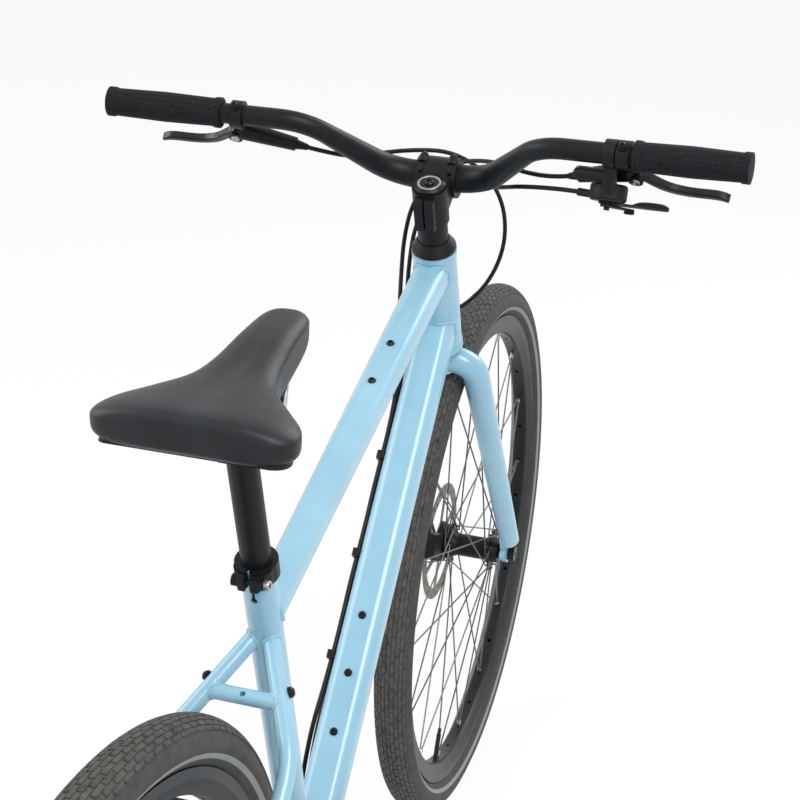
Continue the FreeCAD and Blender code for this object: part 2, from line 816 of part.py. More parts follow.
def rack_bolts():
    """Bolts on the outer sides of the seat stays, beside the bridge."""
    seats = []
    place = stay_root + stay_run * (bridge_share - 0.07)
    along = unit(stay_run)
    outward = unit(SIDE - along * SIDE.dot(along))
    seat = place + outward * (seat_stay_diameter / 2 + 1.0)
    for side in (1, -1):
        seats.append((V(seat.x, side * seat.y, seat.z), V(outward.x, side * outward.y, outward.z)))
    return seats


def drilled(shape, seats, depth=14.0):
    drills = [rod(seat - way * depth, seat + way, bolt_diameter / 2 + running_gap) for seat, way in seats]
    return shape.cut(Part.makeCompound(drills))


def make_head_tube():
    tube_shape = head_tube_solid()
    lip = 3.0
    rings = [rod(head_bottom, head_bottom + steer_way * lip * 2, head_tube_diameter / 2 + 1),
             rod(head_top - steer_way * lip * 2, head_top, head_tube_diameter / 2 + 1)]
    return fused([tube_shape] + rings).cut(rod(head_bottom, head_top, head_tube_bore / 2))


def make_top_tube():
    body = box_tube(top_tube_start, top_tube_end, top_tube_rear_width, top_tube_front_width,
                    top_tube_depth, main_tube_wall)
    body = body.cut(head_tube_solid().fuse(make_head_tube())).cut(seat_tube_solid())
    return drilled(largest(body), boss_bolts()[:2])


def largest(shape):
    return max(shape.Solids, key=lambda solid: solid.Volume)


def make_down_tube():
    body = box_tube(down_tube_start, down_tube_end, down_tube_width, down_tube_width,
                    down_tube_depth, main_tube_wall)
    body = body.cut(head_tube_solid().fuse(make_head_tube())).cut(shell_solid()).cut(seat_tube_solid())
    return drilled(largest(body), boss_bolts()[2:])


def make_seat_tube():
    post_bore = rod(bottom_bracket, seat_top + seat_way, seat_post_diameter / 2 + running_gap)
    body = seat_tube_solid().cut(post_bore)
    body = body.cut(shell_solid())
    slot_length = 34.0
    rearward = V(seat_way.z, 0, -seat_way.x) * -1
    slot_width = 3.0
    slot = Part.makeBox(seat_tube_diameter, slot_width, slot_length, V(0, -slot_width / 2, 0))
    slot.Placement = FreeCAD.Placement(seat_top - seat_way * slot_length,
                                       FreeCAD.Rotation(rearward, SIDE, seat_way, "ZXY"))
    foot = seat_top - seat_way * slot_length
    keyhole = rod(foot, foot + rearward * seat_tube_diameter, 3.2)
    return largest(body.cut(slot).cut(keyhole))


def make_shell():
    half = SIDE * (shell_width / 2)
    return sleeve(bottom_bracket - half, bottom_bracket + half, shell_diameter / 2, shell_bore / 2)


def seat_stay():
    return tube([stay_root, stay_bend_point, stay_end], seat_stay_diameter / 2, seat_stay_bend)


def make_seat_stays():
    stays = both(seat_stay())
    middle = stay_root + stay_run * bridge_share
    reach = V(0, middle.y, 0)
    beam = rod(middle - reach * 2, middle, bridge_diameter / 2)
    upright = unit(V(stay_slope, 0, -1)) * -1
    centre = middle - reach
    hole = rod(centre, centre + upright * bridge_diameter, 2.6)
    body = fused(stays + [beam]).cut(hole)
    body = body.cut(seat_tube_solid())
    body = drilled(largest(body), rack_bolts(), 10.0)
    return body


def make_chain_stays():
    near = bottom_bracket + V(-6, 27, 1)
    stay = tube([near, chain_stay_knee, chain_stay_end], chain_stay_diameter / 2, 200.0)
    link_place = bottom_bracket + V(-64, 0, 9.5)
    beam = rod(link_place - SIDE * 34, link_place + SIDE * 34, bridge_diameter / 2)
    body = fused(both(stay) + [beam]).cut(shell_solid())
    for side in (1, -1):
        face = bottom_bracket + SIDE * (side * shell_width / 2)
        body = body.cut(rod(face, face + SIDE * (side * shell_width), shell_diameter / 2 + 1 + seat_gap))
    return largest(body)


hanger_bolt = rear_axle + V(6, 0, -31)


def dropout_plate(side):
    """One rear dropout: a plate with an arm to each stay, an axle hole and a drilled eyelet."""
    place = V(0, side * rear_spacing / 2, 0)
    out = SIDE * (side * dropout_thickness)
    base = rear_axle + place
    shapes = [Part.makeCylinder(dropout_radius, dropout_thickness, base, out)]
    for end in (stay_end, chain_stay_end):
        target = V(end.x, base.y, end.z)
        way = unit(target - base)
        rise = V(-way.z, 0, way.x) * (dropout_arm / 2)
        corners = [base + rise, target + rise, target - rise, base - rise]
        shapes.append(slab(corners, out))
    eyelet = base + V(-18, 0, 6)
    shapes.append(Part.makeCylinder(7.0, dropout_thickness, eyelet, out))
    if side > 0:
        anchors = [rear_axle + V(17, 0, 4), rear_axle + V(4, 0, 17)]
        rotor_place = rear_spacing / 2 - rear_rotor_inset
        shapes.append(caliper_bracket(rear_axle, caliper_turn_rear, rotor_place, anchors))
    if side < 0:
        target = V(hanger_bolt.x, base.y, hanger_bolt.z)
        shapes.append(Part.makeCylinder(10.0, dropout_thickness, target, out))
        corner = V(base.x - 4, base.y - dropout_thickness, target.z)
        shapes.append(Part.makeBox(hanger_width, dropout_thickness, base.z - target.z, corner))
    body = fused(shapes)
    for point, radius in ((base, axle_diameter / 2 + running_gap), (eyelet, eyelet_drill / 2)):
        body = body.cut(Part.makeCylinder(radius, 3 * dropout_thickness, point - out, out))
    if side < 0:
        body = body.cut(Part.makeCylinder(hanger_bolt_bore, 3 * dropout_thickness, target - out, out))
    return body


def make_dropouts():
    stays = [make_seat_stays(), make_chain_stays()]
    plates = []
    for side in (1, -1):
        plate = dropout_plate(side)
        for stay in stays:
            plate = plate.cut(stay)
        plates.append(largest(plate))
    return Part.makeCompound(plates)


def make_bearings():
    """Headset cups in the head tube and bottom bracket cups in the shell."""
    steerer = steerer_diameter / 2 + running_gap
    cup = 11.0
    rings = []
    for base, way in ((head_top, steer_way), (head_bottom, steer_way * -1)):
        inside = sleeve(base - way * cup, base, head_tube_bore / 2, steerer)
        flange = sleeve(base, base + way * cup_lip, head_tube_diameter / 2, steerer)
        rings.append(fused([inside, flange]))
    spindle = spindle_diameter / 2 + running_gap
    depth = 24.0
    collar = 3.0
    for side in (1, -1):
        face = bottom_bracket + SIDE * (side * shell_width / 2)
        inside = sleeve(face - SIDE * (side * depth), face, shell_bore / 2, spindle)
        flange = sleeve(face, face + SIDE * (side * collar), shell_diameter / 2 + 1, spindle)
        rings.append(fused([inside, flange]))
    return Part.makeCompound(rings)


def make_collar():
    """The split seat collar with its two ears, cross bolt and barrel nut."""
    low = seat_top - seat_way * (collar_height - 2)
    high = seat_top + seat_way * 2
    band = rod(low, high, collar_diameter / 2)
    rearward = V(seat_way.z, 0, -seat_way.x) * -1
    ear_half = 15.0
    ear_outline = ((0, 19), (11, 17.5), (26, 9), (26, -9), (11, -17.5), (0, -19))
    foot = low + seat_way * 1.5
    corners = [foot + rearward * back + SIDE * side for back, side in ear_outline]
    ears = slab(corners, seat_way * (collar_height - 3))
    ears = ears.makeFillet(3.0, edges_along(ears, seat_way))
    centre = low + seat_way * (collar_height / 2) + rearward * (collar_diameter / 2 + 1.0)
    boss = rod(centre - SIDE * ear_half, centre + SIDE * ear_half, 5.5)
    turn = FreeCAD.Rotation(rearward, SIDE, seat_way, "ZXY")
    gap_width = 5.0
    gap = Part.makeBox(collar_diameter, gap_width, collar_height * 2, V(0, -gap_width / 2, 0))
    gap.Placement = FreeCAD.Placement(low - seat_way * 2, turn)
    body = fused([band, ears, boss]).cut(gap)
    bore = fused([rod(low - seat_way, seat_top, seat_tube_diameter / 2),
                  rod(seat_top, high + seat_way, seat_post_diameter / 2 + seat_gap)])
    body = body.cut(bore)
    half = ear_half
    drill = rod(centre - SIDE * half, centre + SIDE * half, bolt_diameter / 2)
    body = body.cut(drill)
    shank = rod(centre - SIDE * half, centre + SIDE * (half - 2), bolt_diameter / 2)
    head = bolt(centre - SIDE * half, SIDE * -1, 4.2, 4.5, 1.0)
    return Part.makeCompound(body.Solids + [fused([shank, head])])


def make_frame_bolts():
    bolts = [bolt(seat, way) for seat, way in boss_bolts()]
    for seat, way in rack_bolts():
        washer = sleeve(seat - way, seat, 5.2, bolt_diameter / 2 + running_gap)
        bolts.append(bolt(seat, way, 5.0, 4.0, 9.0))
        bolts.append(washer)
    return Part.makeCompound(bolts)


# Fork and cockpit


leg_tip = V(front_axle.x - 14, front_spacing / 2 + 10, front_axle.z + 27)
leg_run = V(-0.503, -0.07, 1)
leg_top = leg_tip + leg_run * 287
leg_corner = leg_tip + leg_run * 311
crown_centre = crown_race - steer_way * 18


def fork_leg():
    shoulder = tube([crown_centre, leg_corner, leg_top], fork_top_diameter / 2, fork_shoulder_bend)
    blade = cone(leg_top, leg_tip, fork_top_diameter / 2, fork_tip_diameter / 2)
    return fused([shoulder, blade])


def fork_dropout():
    """The flat tab below one leg that holds the axle, with a drilled eyelet."""
    thickness = fork_dropout_thickness
    face = front_axle + SIDE * (front_spacing / 2)
    out = SIDE * thickness
    disc = Part.makeCylinder(13.0, thickness, face, out)
    top = V(leg_tip.x, face.y, leg_tip.z) + V(leg_run.x, 0, leg_run.z) * 16
    way = unit(top - face)
    side_way = V(-way.z, 0, way.x)
    corners = [face + side_way * 13, top + side_way * 11, top - side_way * 11, face - side_way * 13]
    web = slab(corners, out)
    eyelet = face + V(-20, 0, 6)
    ear = Part.makeCylinder(6.5, thickness, eyelet, out)
    ear_web = Part.makeBox(20, thickness, 11, eyelet + V(0, 0, -5.5))
    body = fused([disc, web, ear, ear_web])
    for point, radius in ((face, axle_diameter / 2 + running_gap), (eyelet, eyelet_drill / 2)):
        body = body.cut(Part.makeCylinder(radius, 3 * thickness, point - out, out))
    return body


caliper_turn_front = 158.0
caliper_turn_rear = 18.0
caliper_reach = rotor_diameter / 2 - 12
caliper_ear = 17.0
caliper_ear_radius = 5.5
caliper_length = 34.0
caliper_depth = 34.0
caliper_inside = 15.0
caliper_width = 33.0
bracket_thickness = 6.0


def make_fork():
    """The crown with its steerer, and the two legs welded under it."""
    steerer_top = head_top + steer_way * steerer_above()
    steerer = rod(crown_centre, steerer_top, steerer_diameter / 2)
    crown = rod(crown_race - steer_way * 30, crown_race, crown_diameter / 2)
    race_top = crown_race + steer_way * (lower_stack - cup_lip - seat_gap)
    race = rod(crown_race, race_top, head_tube_diameter / 2 - 1)
    legs = both(fork_leg()) + both(fork_dropout())
    body = fused([steerer, crown, race] + legs)
    hollow = rod(crown_race - steer_way * 60, steerer_top + steer_way, steerer_diameter / 2 - steerer_wall)
    body = body.cut(hollow)
    anchors = [leg_tip + leg_run * 10, leg_tip + leg_run * 40]
    bracket = caliper_bracket(front_axle, caliper_turn_front, front_spacing / 2 - front_rotor_inset, anchors)
    body = fused([largest(body), bracket])
    middle = V(leg_top.x, 0, leg_top.z)
    above = rod(middle, middle + unit(V(leg_run.x, 0, leg_run.z)) * 700, 400.0)
    return Part.makeCompound([largest(body.common(above))] + body.cut(above).Solids)


def steerer_above():
    return cover_height + sum(spacer_heights) + stem_clamp_height - steerer_recess


def caliper_bracket(axle, turn, rotor_place, anchors):
    """The flat tab outside a caliper that both its ears are bolted to."""
    centre = caliper_centre(axle, turn, rotor_place)
    along = caliper_along(turn)
    place = rotor_place + caliper_width - caliper_inside + seat_gap
    out = SIDE * bracket_thickness
    flat = [V(point.x, place, point.z) for point in anchors]
    ears = [V(centre.x, place, centre.z) + along * (end * caliper_ear) for end in (1, -1)]
    middle = (flat[0] + flat[1] + ears[0] + ears[1]) * 0.25
    corners = sorted(flat + ears, key=lambda point: math.atan2(point.z - middle.z, point.x - middle.x))
    shapes = [slab(corners, out)]
    shapes += [Part.makeCylinder(caliper_ear_radius + 1, bracket_thickness, ear, out) for ear in ears]
    plate = fused(shapes)
    for ear in ears:
        plate = plate.cut(Part.makeCylinder(bolt_diameter / 2, 3 * bracket_thickness, ear - out, out))
    return plate


def caliper_along(turn):
    angle = math.radians(turn)
    return V(-math.sin(angle), 0, math.cos(angle))


def caliper_centre(axle, turn, rotor_place):
    angle = math.radians(turn)
    return axle + V(math.cos(angle), 0, math.sin(angle)) * caliper_reach + SIDE * rotor_place


def make_headset():
    """The conical bearing cover and the spacers under the stem."""
    steerer = steerer_diameter / 2
    base = head_top + steer_way * (cup_lip + seat_gap)
    cover_top = cover_height - cup_lip - seat_gap
    outline = [(0, steerer), (0, cover_diameter / 2), (3, cover_diameter / 2),
               (cover_top, spacer_diameter / 2 + 1), (cover_top, steerer)]
    rings = [turned(base, steer_way, SIDE, outline)]
    low = base + steer_way * cover_top
    for height in spacer_heights:
        high = low + steer_way * height
        rings.append(sleeve(low, high, spacer_diameter / 2, steerer))
        low = high
    return Part.makeCompound(rings)


def stem_base():
    return head_top + steer_way * (cover_height + sum(spacer_heights))


def stem_split():
    """The stem's forward way and the plane that its faceplate leaves."""
    middle = stem_base() + steer_way * (stem_clamp_height / 2)
    way = bar_centre - middle
    return unit(way), middle


def make_stem():
    base = stem_base()
    top = base + steer_way * stem_clamp_height
    way, middle = stem_split()
    rear = rod(base, top, stem_clamp_diameter / 2)
    across = SIDE * (stem_front_width / 2)
    front = rod(bar_centre - across, bar_centre + across, stem_front_diameter / 2)
    upward = way.cross(SIDE)
    neck = Part.makeLoft([rounded_section(middle, SIDE, upward, *stem_neck, stem_corner),
                          rounded_section(bar_centre, SIDE, upward, *stem_nose, stem_corner)], True, True)
    ear_depth, ear_width = stem_ear
    ear = Part.makeBox(ear_depth, ear_width, stem_clamp_height - 6, V(-ear_depth, -ear_width / 2, 3))
    ear.Placement = FreeCAD.Placement(base - steer_front * (stem_clamp_diameter / 2 - 8),
                                      FreeCAD.Rotation(steer_front, SIDE, steer_way, "ZXY"))
    body = fused([rear, front, neck, ear])
    slot_reach = stem_clamp_diameter
    slot = Part.makeBox(slot_reach, stem_slot, stem_clamp_height + 4, V(-slot_reach, -stem_slot / 2, -2))
    slot.Placement = FreeCAD.Placement(base, FreeCAD.Rotation(steer_front, SIDE, steer_way, "ZXY"))
    body = body.cut(rod(base, top, steerer_diameter / 2)).cut(slot)
    body = body.cut(rod(bar_centre - across, bar_centre + across, bar_clamp_diameter / 2))
    room = 2 * stem_front_width
    cap_room = Part.makeBox(room, room, room, V(stem_slot / 2, -room / 2, -room / 2))
    cap_room.Placement = FreeCAD.Placement(bar_centre, FreeCAD.Rotation(way, SIDE, upward, "ZXY"))
    body = body.cut(cap_room).cut(faceplate_holes())
    return largest(body.cut(rod(top, top + steer_way * 12, stem_clamp_diameter / 2 - 1)))


def faceplate_places():
    way, _ = stem_split()
    upward = way.cross(SIDE)
    places = []
    bolt_height = bar_clamp_diameter / 2 + faceplate_rim
    for side in (1, -1):
        for end in (1, -1):
            places.append(bar_centre + SIDE * (side * faceplate_spread / 2) + upward * (end * bolt_height))
    return places


def faceplate_holes():
    way, _ = stem_split()
    reach = way * stem_reach
    holes = [rod(place - reach, place + reach, clamp_bolt_hole) for place in faceplate_places()]
    return Part.makeCompound(holes)


def make_faceplate():
    way, _ = stem_split()
    upward = way.cross(SIDE)
    across = SIDE * (stem_front_width / 2)
    body = rod(bar_centre - across, bar_centre + across, stem_front_diameter / 2)
    lugs = []
    for place in faceplate_places():
        lugs.append(rod(place, place + way * faceplate_lug, 5.2))
    body = fused([body] + lugs)
    body = body.cut(rod(bar_centre - across, bar_centre + across, bar_clamp_diameter / 2))
    room = 2 * stem_front_width
    back = Part.makeBox(room, room, room, V(-room + stem_slot / 2, -room / 2, -room / 2))
    window = rounded_section(bar_centre, SIDE, upward, *faceplate_window, 5.0)
    window = Part.Face(window).extrude(way * stem_front_diameter)
    back.Placement = FreeCAD.Placement(bar_centre, FreeCAD.Rotation(way, SIDE, upward, "ZXY"))
    pockets = [rod(place + way * faceplate_lug, place + way * stem_front_diameter, 4.5)
               for place in faceplate_places()]
    body = body.cut(back).cut(faceplate_holes()).cut(window)
    return largest(body.cut(Part.makeCompound(pockets)))


def make_stem_bolts():
    """Faceplate and clamp bolts with the top cap and its bolt."""
    way, _ = stem_split()
    bolts = []
    for place in faceplate_places():
        bolts.append(bolt(place + way * faceplate_lug, way, 4.2, 4.0, 22.0, clamp_bolt_hole - running_gap))
    top = stem_base() + steer_way * stem_clamp_height
    edge = stem_clamp_diameter / 2 - 2
    hole = bolt_diameter / 2 + 2 * running_gap
    outline = [(0, hole), (0, edge), (cap_thickness - 2, edge), (cap_thickness, edge - 3),
               (cap_thickness, hole)]
    bolts.append(turned(top, steer_way, SIDE, outline))
    bolts.append(bolt(top + steer_way * cap_thickness, steer_way, 5.5, 3.0, 20.0))
    return Part.makeCompound(bolts)


def bar_points():
    shoulder = bar_centre + bar_shoulder
    tip = bar_centre + bar_tip_offset
    return [bar_centre, bar_centre + SIDE * bar_flat, shoulder, tip]


bar_tip = bar_points()[3]
bar_elbow = bar_points()[2]
bar_way = unit(bar_tip - bar_elbow)


def on_bar(place):
    """The bar's axis at one distance from the middle, on the left."""
    return bar_elbow + (bar_tip - bar_elbow) * ((place - bar_elbow.y) / (bar_tip.y - bar_elbow.y))


def half_bar(thinner):
    points = bar_points()
    path = rounded_path(points, bar_bend)
    thick = bar_clamp_diameter / 2 - thinner
    thin = bar_grip_diameter / 2 - thinner
    edges = path.Edges
    shell = Part.BRepOffsetAPI.MakePipeShell(Part.Wire(edges[1:3]))
    start = edges[0].lastVertex().Point
    end = edges[2].lastVertex().Point
    shell.add(Part.Wire(Part.makeCircle(thick, start, SIDE)))
    shell.add(Part.Wire(Part.makeCircle(thin, end, unit(points[2] - points[1]))))
    shell.build()
    shell.makeSolid()
    taper = shell.shape()
    centre = rod(points[0], start, thick)
    ring = Part.Wire(Part.makeCircle(thin, end, unit(points[2] - points[1])))
    arm = Part.Wire(edges[3:]).makePipeShell([ring], True, False)
    return fused([centre, taper, arm])


def make_handlebar():
    outer = fused(both(half_bar(0)))
    inner = fused(both(half_bar(bar_wall)))
    return outer.cut(inner)


def grip(length):
    end = bar_tip + bar_way * grip_end_wall
    bore = bar_grip_diameter / 2
    radius = grip_diameter / 2
    flange = grip_flange_diameter / 2
    outline = [(0, 0), (0, radius + 0.5), (-7, radius + 0.5), (-9, radius - 0.6),
               (-length * 0.5, radius + 0.6), (-length + grip_flange_width + 5, radius - 0.4),
               (-length + grip_flange_width + 2, radius + 0.8), (-length + grip_flange_width, flange - 1.5),
               (-length + 1, flange - 1.5), (-length, flange - 3), (-length, bore),
               (-grip_end_wall, bore), (-grip_end_wall, 0)]
    return turned(end, bar_way, UP.cross(bar_way).normalize(), outline)


def make_grips():
    return Part.makeCompound([grip(left_grip_length), mirrored(grip(right_grip_length))])


def lever_axes():
    """Ways for the levers: outward along the bar, away from the bar, and across the blade."""
    tilt = math.radians(lever_tilt)
    away = V(math.cos(tilt), 0, -math.sin(tilt))
    away = unit(away - bar_way * away.dot(bar_way))
    return bar_way, away, bar_way.cross(away)


def lever_point(place, out, drop):
    along, away, _ = lever_axes()
    return on_bar(place) + along * out + away * drop


def lever_mount(place):
    """One lever's clamp, master cylinder and pivot fork, on the left."""
    along, away, across = lever_axes()
    centre = on_bar(place)
    bore = bar_grip_diameter / 2
    half = along * (clamp_width / 2)
    ring = rod(centre - half, centre + half, bore + clamp_wall)
    pivot = lever_point(place, lever_pivot_out, lever_pivot_drop)
    tip = lever_point(place, -cylinder_length, lever_pivot_drop + cylinder_spread)
    start = lever_point(place, 0, lever_pivot_drop - 2)
    barrel = cone(start, tip, cylinder_radius, cylinder_tip_radius)
    end_ball = Part.makeSphere(cylinder_radius, start)
    neck = rod(centre + away * 8, centre + away * (lever_pivot_drop - 4), 7.0)
    reach = across * (lever_blade_width / 2 + lever_cheek)
    knuckle = rod(pivot - reach, pivot + reach, 8.0)
    boot = cone(tip, lever_port(place)[0], 5.5, hose_diameter / 2 + 0.8)
    body = fused([ring, barrel, end_ball, neck, knuckle, boot])
    body = body.cut(rod(centre - half * 4, centre + half * 4, bore))
    half_room = lever_blade_width / 2 + seat_gap
    room = rod(pivot - across * half_room, pivot + across * half_room, 9.5)
    swing = Part.makeBox(60, 2 * half_room, 40, V(0, -half_room, -14))
    swing.Placement = FreeCAD.Placement(pivot, FreeCAD.Rotation(along, across, away, "ZXY"))
    body = largest(body.cut(room).cut(swing))
    pin = rod(pivot - reach, pivot + reach, lever_pin_diameter / 2)
    body = body.cut(pin)
    clamp_bolt = bolt(centre - away * (bore + clamp_wall + 3), away * -1, 3.6, 3.2, 4.0)
    lug = rod(centre - away * bore, centre - away * (bore + clamp_wall + 3), 5.0)
    lug = lug.cut(rod(centre - half * 4, centre + half * 4, bore + clamp_wall))
    return [fused([body, lug]).cut(clamp_bolt), clamp_bolt, pin]


def make_lever_mounts():
    left = lever_mount(left_lever_place)
    right = [mirrored(solid) for solid in lever_mount(right_lever_place)]
    return Part.makeCompound(left + right)


# Along the blade: out from the pin, drop from the bar, depth
lever_stations = ((4, 1, 9.0), (15, 9, 9.0), (28, 19, 8.0), (42, 24, 7.0), (62, 26, 6.5),
                  (lever_length - 10, 26.5, 6.5), (lever_length, 30.5, 5.0))


def make_lever(place):
    """A brake lever blade: a hub on the pin, a knee, and a finger hook at the tip."""
    along, away, across = lever_axes()
    pivot = lever_point(place, lever_pivot_out, lever_pivot_drop)

    spots = [pivot + along * out + away * drop for out, drop, depth in lever_stations]
    wires = []
    for index, (out, drop, depth) in enumerate(lever_stations):
        run = spots[min(index + 1, len(spots) - 1)] - spots[max(index - 1, 0)]
        upward = unit(run).cross(across)
        wires.append(rounded_section(spots[index], across, upward, lever_blade_width, depth, 2.2))
    blade = Part.makeLoft(wires, True, False)
    half = across * (lever_blade_width / 2)
    hub = rod(pivot - half, pivot + half, 7.0)
    body = fused([blade, hub])
    return body.cut(rod(pivot - half * 2, pivot + half * 2, lever_pin_diameter / 2 + running_gap))


def make_shifter():
    """The trigger shifter's clamp, gear display pod and round housing, on the right."""
    centre = on_bar(shifter_place)
    along = bar_way
    bore = bar_grip_diameter / 2
    half = along * 6.0
    ring = sleeve(centre - half, centre + half, bore + clamp_wall, bore)
    housing_base = shifter_pivot() - shifter_axis() * (shifter_thickness / 2)
    housing = Part.makeCylinder(shifter_radius, shifter_thickness, housing_base, shifter_axis())
    housing = housing.makeFillet(3.5, round_edges(housing))
    pod_centre = on_bar(shifter_place - 19) + V(2, 0, -23)
    pod = Part.makeBox(18, 38, 12, pod_centre + V(-9, -19, -6))
    pod = pod.makeFillet(5.0, pod.Edges)
    neck = Part.makeBox(16, 14, 34, centre + V(-7, -7, -44))
    neck = neck.makeFillet(4.0, neck.Edges)
    body = fused([housing, pod, neck, ring])
    body = body.cut(rod(centre - along * 60, centre + along * 60, bore))
    bore_reach = shifter_axis() * (shifter_thickness * 1.5)
    body = body.cut(rod(shifter_pivot() - bore_reach, shifter_pivot() + bore_reach,
                        shift_pin_diameter / 2 + running_gap))
    window = Part.makeBox(7, 26, 3, V(-3.5, -13, 0))
    window = window.makeFillet(1.2, window.Edges)
    window.translate(pod_centre + V(-4, 0, 4.7))
    body = body.cut(window)
    outlet = shifter_outlet()
    barrel = rod(outlet[0], outlet[1], 4.2)
    body = largest(fused([body, barrel]))
    return Part.makeCompound([mirrored(solid) for solid in (body, window, shift_pin())])


def shifter_axis():
    return unit(V(0.34, 0, 0.94))


def shifter_pivot():
    return on_bar(shifter_place - 2) + V(12, 0, -44)


def shift_pin():
    reach = shifter_axis() * (shifter_thickness / 2 + 9)
    return rod(shifter_pivot() - reach, shifter_pivot() + shifter_axis() * (shifter_thickness / 2),
               shift_pin_diameter / 2)


def shifter_outlet():
    start = shifter_pivot() + V(6, -15, -5)
    return start, start + V(10, -19, -2)


def shift_lever(low, outline):
    """A flat finger lever turning on the shifter's pin, below the housing."""
    axis = shifter_axis()
    base = shifter_pivot() - axis * (shifter_thickness / 2 + low)
    forward = unit(V(1, 0, 0) - axis * axis.x)
    left = axis.cross(forward)
    points = [base + forward * x + left * y for x, y in outline]
    plate = slab(points, axis * -shift_lever_plate)
    plate = fused([plate, Part.makeCylinder(7.0, shift_lever_plate, base, axis * -1)])
    plate = plate.cut(rod(base + axis * 4, base - axis * 8, shift_pin_diameter / 2 + running_gap))
    return plate, base, forward, left, axis


def make_thumb_lever():
    outline = [(-8, -8), (8, -8), (16, 10), (24, 40), (22, 60), (12, 62), (6, 44), (-6, 12)]
    plate, base, forward, left, axis = shift_lever(0.4, outline)
    lip = [base + forward * x + left * y for x, y in ((11, 44), (23, 42), (21, 59), (13, 60))]
    pad = slab(lip, axis * 3.0)
    pad = pad.makeFillet(1.2, pad.Edges)
    pad.translate(axis * -shift_lever_plate)
    return mirrored(fused([plate, pad]))


def make_release_lever():
    outline = [(-4, -6), (22, 4), (33, 16), (30, 22), (18, 16), (2, 8)]
    plate, base, forward, left, axis = shift_lever(3.2, outline)
    pad_centre = base + forward * 31 + left * 19
    pad = Part.makeCylinder(5.5, 6.0, pad_centre, axis * -1)
    pad = pad.makeFillet(1.5, round_edges(pad))
    return mirrored(fused([plate, pad]))


# Brakes


def caliper_port(axle, turn, rotor_place):
    """Where the hose enters a caliper, and the way out of it."""
    angle = math.radians(turn)
    outward = V(math.cos(angle), 0, math.sin(angle))
    return caliper_centre(axle, turn, rotor_place) + outward * (caliper_depth / 2 + 8) + SIDE * 6, outward


def make_caliper(axle, turn, rotor_place):
    """A two-piston caliper: a body that bridges the rotor, ears with bolts, two pads and a hose fitting."""
    centre = caliper_centre(axle, turn, rotor_place)
    along = caliper_along(turn)
    port, outward = caliper_port(axle, turn, rotor_place)
    frame_turn = FreeCAD.Rotation(outward, SIDE, along, "ZXY")
    block = Part.makeBox(caliper_depth, caliper_width, caliper_length,
                         V(-caliper_depth / 2, -caliper_inside, -caliper_length / 2))
    block.Placement = FreeCAD.Placement(centre, frame_turn)
    block = block.makeFillet(5.0, edges_along(block, SIDE))
    face = caliper_width - caliper_inside + seat_gap
    ears = []
    bolts = []
    for end in (1, -1):
        place = centre + along * (end * caliper_ear)
        ears.append(rod(place + SIDE * 5, place + SIDE * face, caliper_ear_radius))
        bolts.append(bolt(place + SIDE * (face + bracket_thickness), SIDE, 4.2, 3.0, bracket_thickness + 10))
    fitting = rod(port, port - outward * 10, hose_diameter / 2 + 1.5)
    body = fused([block, fitting] + ears).cut(Part.makeCompound(bolts))
    slot_width = 7.0
    slot = Part.makeBox(caliper_depth, slot_width, caliper_length + 40,
                        V(-caliper_depth, -slot_width / 2, -caliper_length / 2 - 20))
    roof = centre + outward * (rotor_diameter / 2 - caliper_reach + 2)
    slot.Placement = FreeCAD.Placement(roof, frame_turn)
    solids = list(body.cut(slot).Solids) + bolts
    pad_gap = rotor_thickness / 2 + seat_gap
    for low in (pad_gap, -slot_width / 2):
        pad = Part.makeBox(17, slot_width / 2 - pad_gap, 26, V(-9, low, -13))
        pad.Placement = FreeCAD.Placement(centre, frame_turn)
        solids.append(pad)
    return Part.makeCompound(solids)


# Seat


def make_seat_post():
    low = seat_top - seat_way * post_insertion
    high = post_top
    body = rod(low, high, seat_post_diameter / 2)
    head = rod(high - SIDE * 17, high + SIDE * 17, 13.0)
    body = fused([body, head])
    body = body.cut(rod(low - seat_way, high - seat_way * 22, seat_post_diameter / 2 - post_wall))
    return largest(body.cut(cradle_room()))


def cradle_room():
    """What the clamp takes off the post's head."""
    room = 80.0
    return Part.makeBox(room, room, room, clamp_centre + V(-room / 2, -room / 2, -cradle_lower))


def rail_points():
    half = rail_spacing / 2
    places = (V(87, 8, 25), V(38, half, 0), V(-36, half, 0), V(-84, 33, 23))
    return [saddle_middle + place for place in places]


def rails():
    return both(tube(rail_points(), rail_diameter / 2, 30.0))


def make_saddle_rails():
    return Part.makeCompound(rails())


def make_saddle_clamp():
    """The cradle pair that grips the rails, with its bolt and nut."""
    centre = clamp_centre
    length = 40.0
    width = rail_spacing + 14
    lower = Part.makeBox(length, width, cradle_lower, centre + V(-length / 2, -width / 2, -cradle_lower))
    upper = Part.makeBox(length - 4, width, cradle_upper, centre + V(-length / 2 + 2, -width / 2, cradle_slit))
    rods = Part.makeCompound(rails())
    drill = rod(centre + V(0, 0, -40), centre + V(0, 0, 20), 3.05)
    solids = []
    for block in (lower, upper):
        block = block.makeFillet(3.0, edges_along(block, UP))
        solids.append(largest(block.cut(rods).cut(drill)))
    solids.append(bolt(centre + UP * (cradle_slit + cradle_upper), UP, 5.0, 4.0, 15.0, 3.0))
    return Part.makeCompound(solids)


# Saddle sections from its middle at the rails: place, half width, heights of the crown, shoulder and foot
saddle_sections = (
    (119, 14, 64, 56, 41),
    (103, 22, 68, 58, 30),
    (60, 26, 67, 54, 20),
    (15, 31, 61, 47, 18),
    (-18, 41, 58, 43, 18),
    (-48, 64, 58, 41, 17),
    (-72, 81, 59, 41, 18),
    (-93, 85, 60, 41, 21),
    (-107, 75, 59, 42, 24),
    (-113, 54, 55, 41, 28),
)


